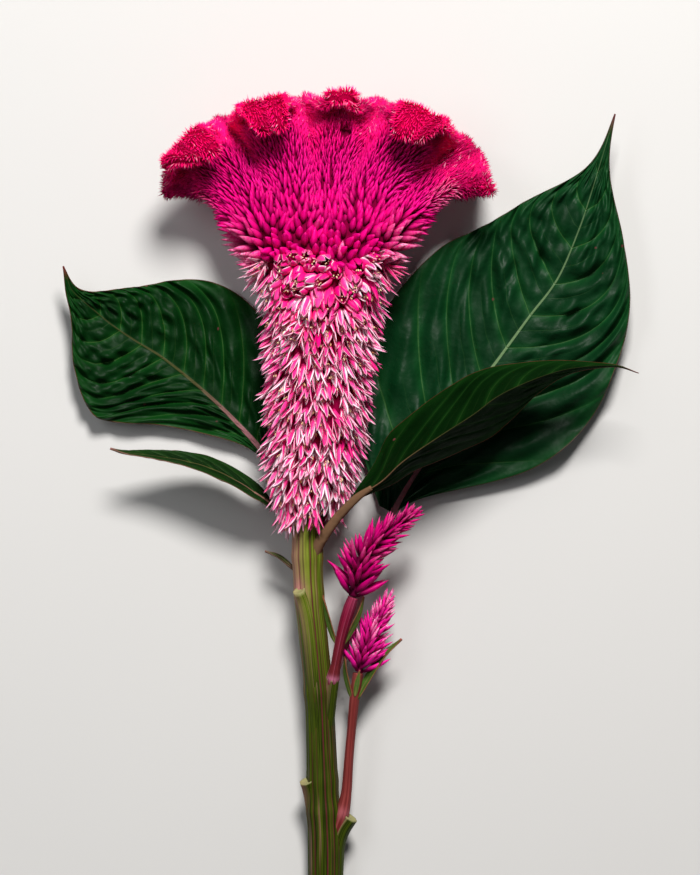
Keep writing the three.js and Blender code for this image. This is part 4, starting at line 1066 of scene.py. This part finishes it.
def open_florets():
    """Open florets of the spike: five tepals and two bracts each. Low on the spike they hang towards
    the stem and gape, and towards the fan they stand out and close into plump rosettes."""
    rng = np.random.default_rng(FLORET_SEED)
    around, stage = scattered(rng, 0.012, 1.1, lambda stage: mix(*FLORET_SPACING, ease((stage - 0.6) * 4)))
    keep = stage < 1.05 + 0.03 * np.sin(9 * around) + 0.02 * rng.standard_normal(len(stage))
    around, stage = around[keep], stage[keep]
    across, _ = side_of(around)
    fringe = ease((stage - 0.72) * 6) * ease((np.abs(across) - 0.5) * 4)
    lean = mix(-58, -22, clamp(stage) ** 4) + 24 * clamp((stage - 0.95) * 8) - 18 * fringe
    foot, axis, first, second = growing(rng, around, stage, lean, mix(8, 19, ease((stage - 0.7) * 4)))
    rosette = ease((stage - 0.7) / 0.2) * (1 - fringe)
    length = (mix(*FLORET_LENGTH, rosette) + 2.2 * fringe) * rng.uniform(0.86, 1.14, len(foot))
    length = np.where(clear_of_leaves(foot + axis * length[:, None] * 0.9, 1.6), length, 0.6 * length)
    clear = clear_of_leaves(foot + axis * length[:, None] * 0.9, 1.0)
    foot, axis, first, second, length, rosette, fringe, stage = (
        a[clear] for a in (foot, axis, first, second, length, rosette, fringe, stage))
    n = len(foot)
    foot = foot - axis * 0.6
    width = (mix(*FLORET_WIDTH, rosette) - 0.7 * fringe) * rng.uniform(0.88, 1.12, n)
    opening = np.radians(mix(*FLORET_OPENING, rosette) * rng.uniform(0.75, 1.25, n))
    rosette = rosette * rng.uniform(0.75, 1, n)
    shade = clamp(0.35 + rng.uniform(-0.35, 0.4, n))
    white = 0.3 * (1 - ease(stage * 2)) + 0.1 * fringe - 0.5 * rosette + 0.25 * rng.standard_normal(n)
    turn = rng.uniform(0, TURN, n)
    piece = Piece()

    def ring_of(count, length, width, opening, shade, start):
        *seat, length, width, opening, closing, shade, whiteness, angle = (np.repeat(a, count, 0) for a in (
            foot, axis, first, second, length, width, opening, rosette, shade, white, turn + start))
        length = length * rng.uniform(0.88, 1.1, n * count)
        opening = opening * mix(rng.uniform(0.7, 1.3, n * count), 1, 0.6 * closing)
        angle = angle + np.tile(np.arange(count) / count * TURN, n) + rng.uniform(-0.2, 0.2, n * count)
        tepals(piece, *seat, length, width, opening, closing, shade, whiteness, angle)

    ring_of(5, length, width, opening, shade, 0.0)
    ring_of(2, length * 0.5, width * 0.85, opening * 1.4, shade * 0.4, 0.6)
    return piece, (foot, axis, first, second, length, rosette)


def anthers(foot, axis, first, second, length, rosette):
    """Anthers and styles inside the open florets, as three small spindles on the axis of each."""
    rng = np.random.default_rng(ANTHER_SEED)
    piece = Piece()
    n = len(foot)
    for _ in range(3):
        turn = rng.uniform(0, TURN, n)[:, None]
        out = first * np.cos(turn) + second * np.sin(turn)
        along = mix(0.62, 0.84, rosette) * rng.uniform(0.85, 1.1, n)
        start = foot + axis * (length * along)[:, None] + out * rng.uniform(0.2, 0.8, (n, 1))
        tilt = unit(axis + 0.5 * out)
        side = unit(np.cross(tilt, out + 0.01))
        spindles(
            piece, start, tilt, side, np.cross(tilt, side), rng.uniform(1.0, 1.9, n), rng.uniform(0.2, 0.34, n),
            [0.5, 1.0], 4, 0.0, shade=rng.uniform(0, 1, n) * mix(1, 0.35, rosette),
        )
    return piece


def fan_buds():
    """Closed buds of the fan. They stand out at its foot, 8 mm long in the middle and 13 mm at the
    sides, and lie along it towards the crest, where they are strands 5 mm long and a quarter as thick."""
    rng = np.random.default_rng(BUD_SEED)
    around, stage = scattered(rng, 0.94, 2.12, lambda stage: mix(*BUD_SPACING, ease((stage - 1) * 1.25)))
    foot_line = 0.97 + 0.03 * np.sin(9 * around) + 0.02 * rng.standard_normal(len(stage))
    keep = (stage > foot_line) & clear_of_hollow(around, stage)
    around, stage = around[keep], stage[keep]
    across, _ = side_of(around)
    rise = clamp(stage - 1)
    lean = mix(mix(14, 30, across ** 4), mix(67, 50, across ** 8), ease(rise * 2.4))
    foot, *cross = growing(rng, around, stage, lean, 8)
    n = len(foot)
    small = ease(rise * 1.2) * (1 - 0.3 * across ** 6 * (1 - ease((stage - 1.4) * 3)))
    length = mix(mix(*BUD_LENGTH[:2], across ** 4), BUD_LENGTH[2], small) * rng.uniform(0.85, 1.15, n)
    girth = mix(*BUD_GIRTH, small) * rng.uniform(0.85, 1.15, n) * mix(1, 0.8, across ** 6)
    shade = rng.uniform(0, 1, n)
    outer = ease((np.abs(across) - 0.86) * 10)
    pale = ease((np.abs(across) - 0.6) * 3) * (1 - ease(rise * 2)) * 0.85
    pale = 0.5 * outer * ease((stage - 1.6) * 3) + pale
    pale = clamp(pale) * rng.uniform(0.4, 1, n)
    pale = clamp(pale + (rng.uniform(0, 1, n) > 0.94) * 0.3 * (1 - ease(rise * 3)))
    scarlet = 0.5 * ease((stage - 1.65) * 2)
    piece = Piece()
    for chosen, profile, sides in (
        (stage < 1.5, [0.5, 0.86, 1.0, 0.84, 0.5], 6), (stage >= 1.5, [0.7, 1.0, 0.7], 5),
    ):
        bow = 0.07 * length * rng.standard_normal(n)
        spindles(
            piece, *(a[chosen] for a in (foot - cross[0] * 0.8, *cross, length, girth)), profile, sides,
            bow[chosen], shade=shade[chosen], scarlet=scarlet[chosen], pale=pale[chosen],
        )
    return piece


def crest_bristles(seed, front):
    """Bristles of the crest on its front or its back: slender three-sided spikes that lean along the
    sheet, less so on its thin sides, and stand straight out at its round edge. Where folds come forward
    they are scarlet. Their shade mark is painted shade: lighter on the lumps' tops, darker in the creases
    between them and towards the sides."""
    rng = np.random.default_rng(seed)
    around, stage = scattered(rng, 2.0, 3.0, lambda stage: (
        mix(*BRISTLE_SPACING, ease((stage - 2) * 3)) if front else BRISTLE_BACK_SPACING))
    keep = ((around % 2 < 1) == front) & clear_of_hollow(around, stage)
    around, stage = around[keep], stage[keep]
    edge = ease((stage - 2.8) / 0.17)
    across, _ = side_of(around)
    side = ease((np.abs(across) - 0.92) * 14)
    foot, *cross = growing(rng, around, stage, mix(mix(mix(64, 50, stage - 2), 42, side), 6, edge), 11)
    n = len(foot)
    length = mix(mix(*BRISTLE_LENGTH[:2], ease((stage - 2) * 2)), BRISTLE_LENGTH[2], edge)
    length = length * rng.uniform(0.72, 1.18, n)
    lean = lean_at(across)
    hollow = clamp(-lean * 1.2) * (1 - ease((stage - 2) * 1.4))
    pale = 0.8 * (rng.uniform(0, 1, n) < 0.012 + 0.09 * hollow + 0.16 * edge) * rng.uniform(0.3, 1, n)
    # Painted light and shade: lighter on the lumps' tops, darker in the creases between them.
    raised = clamp(0.58 + 0.34 * ruffle(across, stage))
    scarlet = clamp(ease((stage - 2.1) * 1.4) * (0.4 + 0.6 * clamp(lean)) + 0.1 * rng.standard_normal(n))
    girth = mix(*BRISTLE_GIRTH, ease((stage - 2) * 2.5)) * rng.uniform(0.8, 1.2, n)
    bow = 0.16 * length * rng.standard_normal(n)
    # Shade mark: the painted light and shade of the lumps, darker towards the sides as painted shade, and a
    # random part.
    shade = clamp(0.8 * raised + rng.uniform(0.08, 0.43, n) - 0.62 * across ** 4)
    piece = Piece()
    spindles(
        piece, foot - cross[0] * 0.4, *cross, length, girth, [1.0, 0.85], 3, bow,
        shade=shade, scarlet=scarlet, pale=pale,
    )
    return piece


# The plant

LEAF_BROAD = leaf_finish(
    "leaf_broad", (4, 38, 9), (12, 60, 16), (50, 72, 34), (60, 90, 40), (140, 92, 98), (66, 66, 34),
    (104, 46, 40), 0.5, 0.08)
LEAF_WIDE = leaf_finish(
    "leaf_wide", (6, 44, 19), (15, 64, 27), (50, 72, 34), (56, 94, 46), (140, 92, 98), (98, 124, 84),
    (96, 50, 50), 0.5, 0.11)
# The front leaf: its greens, underside and rib are darker than the other leaves' as painted shade.
LEAF_PAINTED_SHADE = leaf_finish(
    "leaf_front_painted_shade", (5, 26, 5), (12, 44, 10), (18, 36, 12), (44, 68, 28), (112, 84, 62), (54, 56, 28),
    (112, 46, 42), 0.4, 0.01)
LEAF_NARROW = leaf_finish(
    "leaf_narrow", (8, 34, 6), (22, 54, 13), (56, 78, 34), (66, 90, 36), (130, 92, 80), (96, 90, 52),
    (140, 92, 84), 0.5)
LEAF_BRACT = leaf_finish(
    "leaf_bract", (46, 76, 22), (66, 96, 34), (78, 96, 48), (84, 114, 50), (104, 110, 52), (86, 96, 44),
    (150, 64, 60), 0.4)
STEM_OLIVE = stem_finish(
    "stem_olive", (68, 84, 16), (118, 130, 40), (30, 40, 5), (66, 80, 13), (92, 12, 42), (182, 122, 118))
SHOOT_CRIMSON = stem_finish(
    "shoot_crimson", (100, 0, 36), (142, 14, 64), (84, 26, 24), (118, 50, 44), (56, 2, 20), (206, 122, 154))
SHOOT_ROSE = stem_finish(
    "shoot_rose", (96, 50, 26), (138, 76, 56), (92, 30, 26), (136, 60, 56), (92, 16, 34), (178, 96, 104))
BUD_MAGENTA = bud_finish("bud_magenta", (212, 0, 114), (98, 0, 42), (244, 34, 174))
BUD_DEEP = bud_finish("bud_deep", (192, 0, 108), (96, 0, 50), (246, 40, 160))
BUD_BRIGHT = bud_finish("bud_bright", (230, 18, 146), (130, 4, 76), (255, 120, 205))
CREST_SCARLET = bristle_finish()

LEAF_PIECES = {name: leaf(name) for name in LEAVES}
LEAF_LOOKS = (LEAF_BROAD, LEAF_WIDE, LEAF_PAINTED_SHADE, LEAF_NARROW, LEAF_NARROW)
for (name, piece), look in zip(LEAF_PIECES.items(), LEAF_LOOKS):
    piece.make(name + "_blade", look, "leaf", name)
stem_piece().make("ribbed_stem", STEM_OLIVE, "stem", "stem")
for (name, shape), looks in zip(SHOOTS.items(), ((SHOOT_CRIMSON, BUD_DEEP), (SHOOT_ROSE, BUD_BRIGHT))):
    shoot_stalk(shape).make(name + "_ribbed_stalk", looks[0], "shoot_stalk", name + "_stalk")
    shoot_leaves(shape).make(name + "_bract_leaves", LEAF_BRACT, "leaf")
    shoot_buds(shape).make(name + "_buds", looks[1], "bud", name + "_spike")

flesh().make("head_flesh_painted_shade", flesh_painted_shade_finish(), "crest")
florets, floret_places = open_florets()
florets.make("open_florets", floret_finish(), "floret", "spike_florets")
anthers(*floret_places).make("dried_anthers", anther_finish(), "floret")
fan_buds().make("closed_buds", BUD_MAGENTA, "bud", "fan_buds")
for seed, side in zip(BRISTLE_SEEDS, ("front", "back")):
    crest_bristles(seed, side == "front").make(f"crest_{side}_bristles", CREST_SCARLET, "crest", "crest")


# Floor, light and camera, in metres

def placed(name, data, place=(0, 0, 0)):
    made = bpy.data.objects.new(name, data)
    made.location = place
    bpy.context.scene.collection.objects.link(made)
    return made


def floor_plane(half=3.0):
    """A pale level surface under the plant."""
    mesh = bpy.data.meshes.new("floor")
    corners = [(-half, -half, 0), (half, -half, 0), (half, half, 0), (-half, half, 0)]
    mesh.from_pydata(corners, [], [(0, 1, 2, 3)])
    mesh.materials.append(floor_finish())
    placed("floor", mesh)


def area_light(name, place, size, power, colour):
    """A soft round light that faces the middle of the plant."""
    light = bpy.data.lights.new(name, "AREA")
    light.shape, light.size, light.energy, light.color = "DISK", size, power, colour
    towards = np.array([0.0, 0.03, 0.02]) - np.array(place)
    yaw, pitch = np.arctan2(towards[0], -towards[1]), np.arccos(-towards[2] / np.linalg.norm(towards))
    placed(name, light, place).rotation_euler = (pitch, 0, np.pi - yaw)


floor_plane()
area_light("key_light", (0.12, 0.85, 1.1), 0.38, 27.5, (1.0, 0.98, 0.96))
area_light("fill_light", (-0.75, 0.4, 1.2), 1.0, 7.0, (0.96, 0.98, 1.0))
world = bpy.data.worlds.new("soft_room")
world.use_nodes = True
background = world.node_tree.nodes["Background"].inputs
background["Color"].default_value = (0.95, 0.97, 1.0, 1)
background["Strength"].default_value = 0.09
bpy.context.scene.world = world
bpy.context.scene.view_settings.view_transform = "Standard"

# Straight above the plant, far off with a long lens. The frame's longer side covers the span at focus height.
CAMERA_HEIGHT, FOCUS_HEIGHT, SPAN = 2.5, 0.02, 0.328125
camera = bpy.data.cameras.new("camera")
camera.sensor_width = 36
camera.lens = camera.sensor_width * (CAMERA_HEIGHT - FOCUS_HEIGHT) / SPAN
bpy.context.scene.camera = placed("camera", camera, (0, 0.02925, CAMERA_HEIGHT))
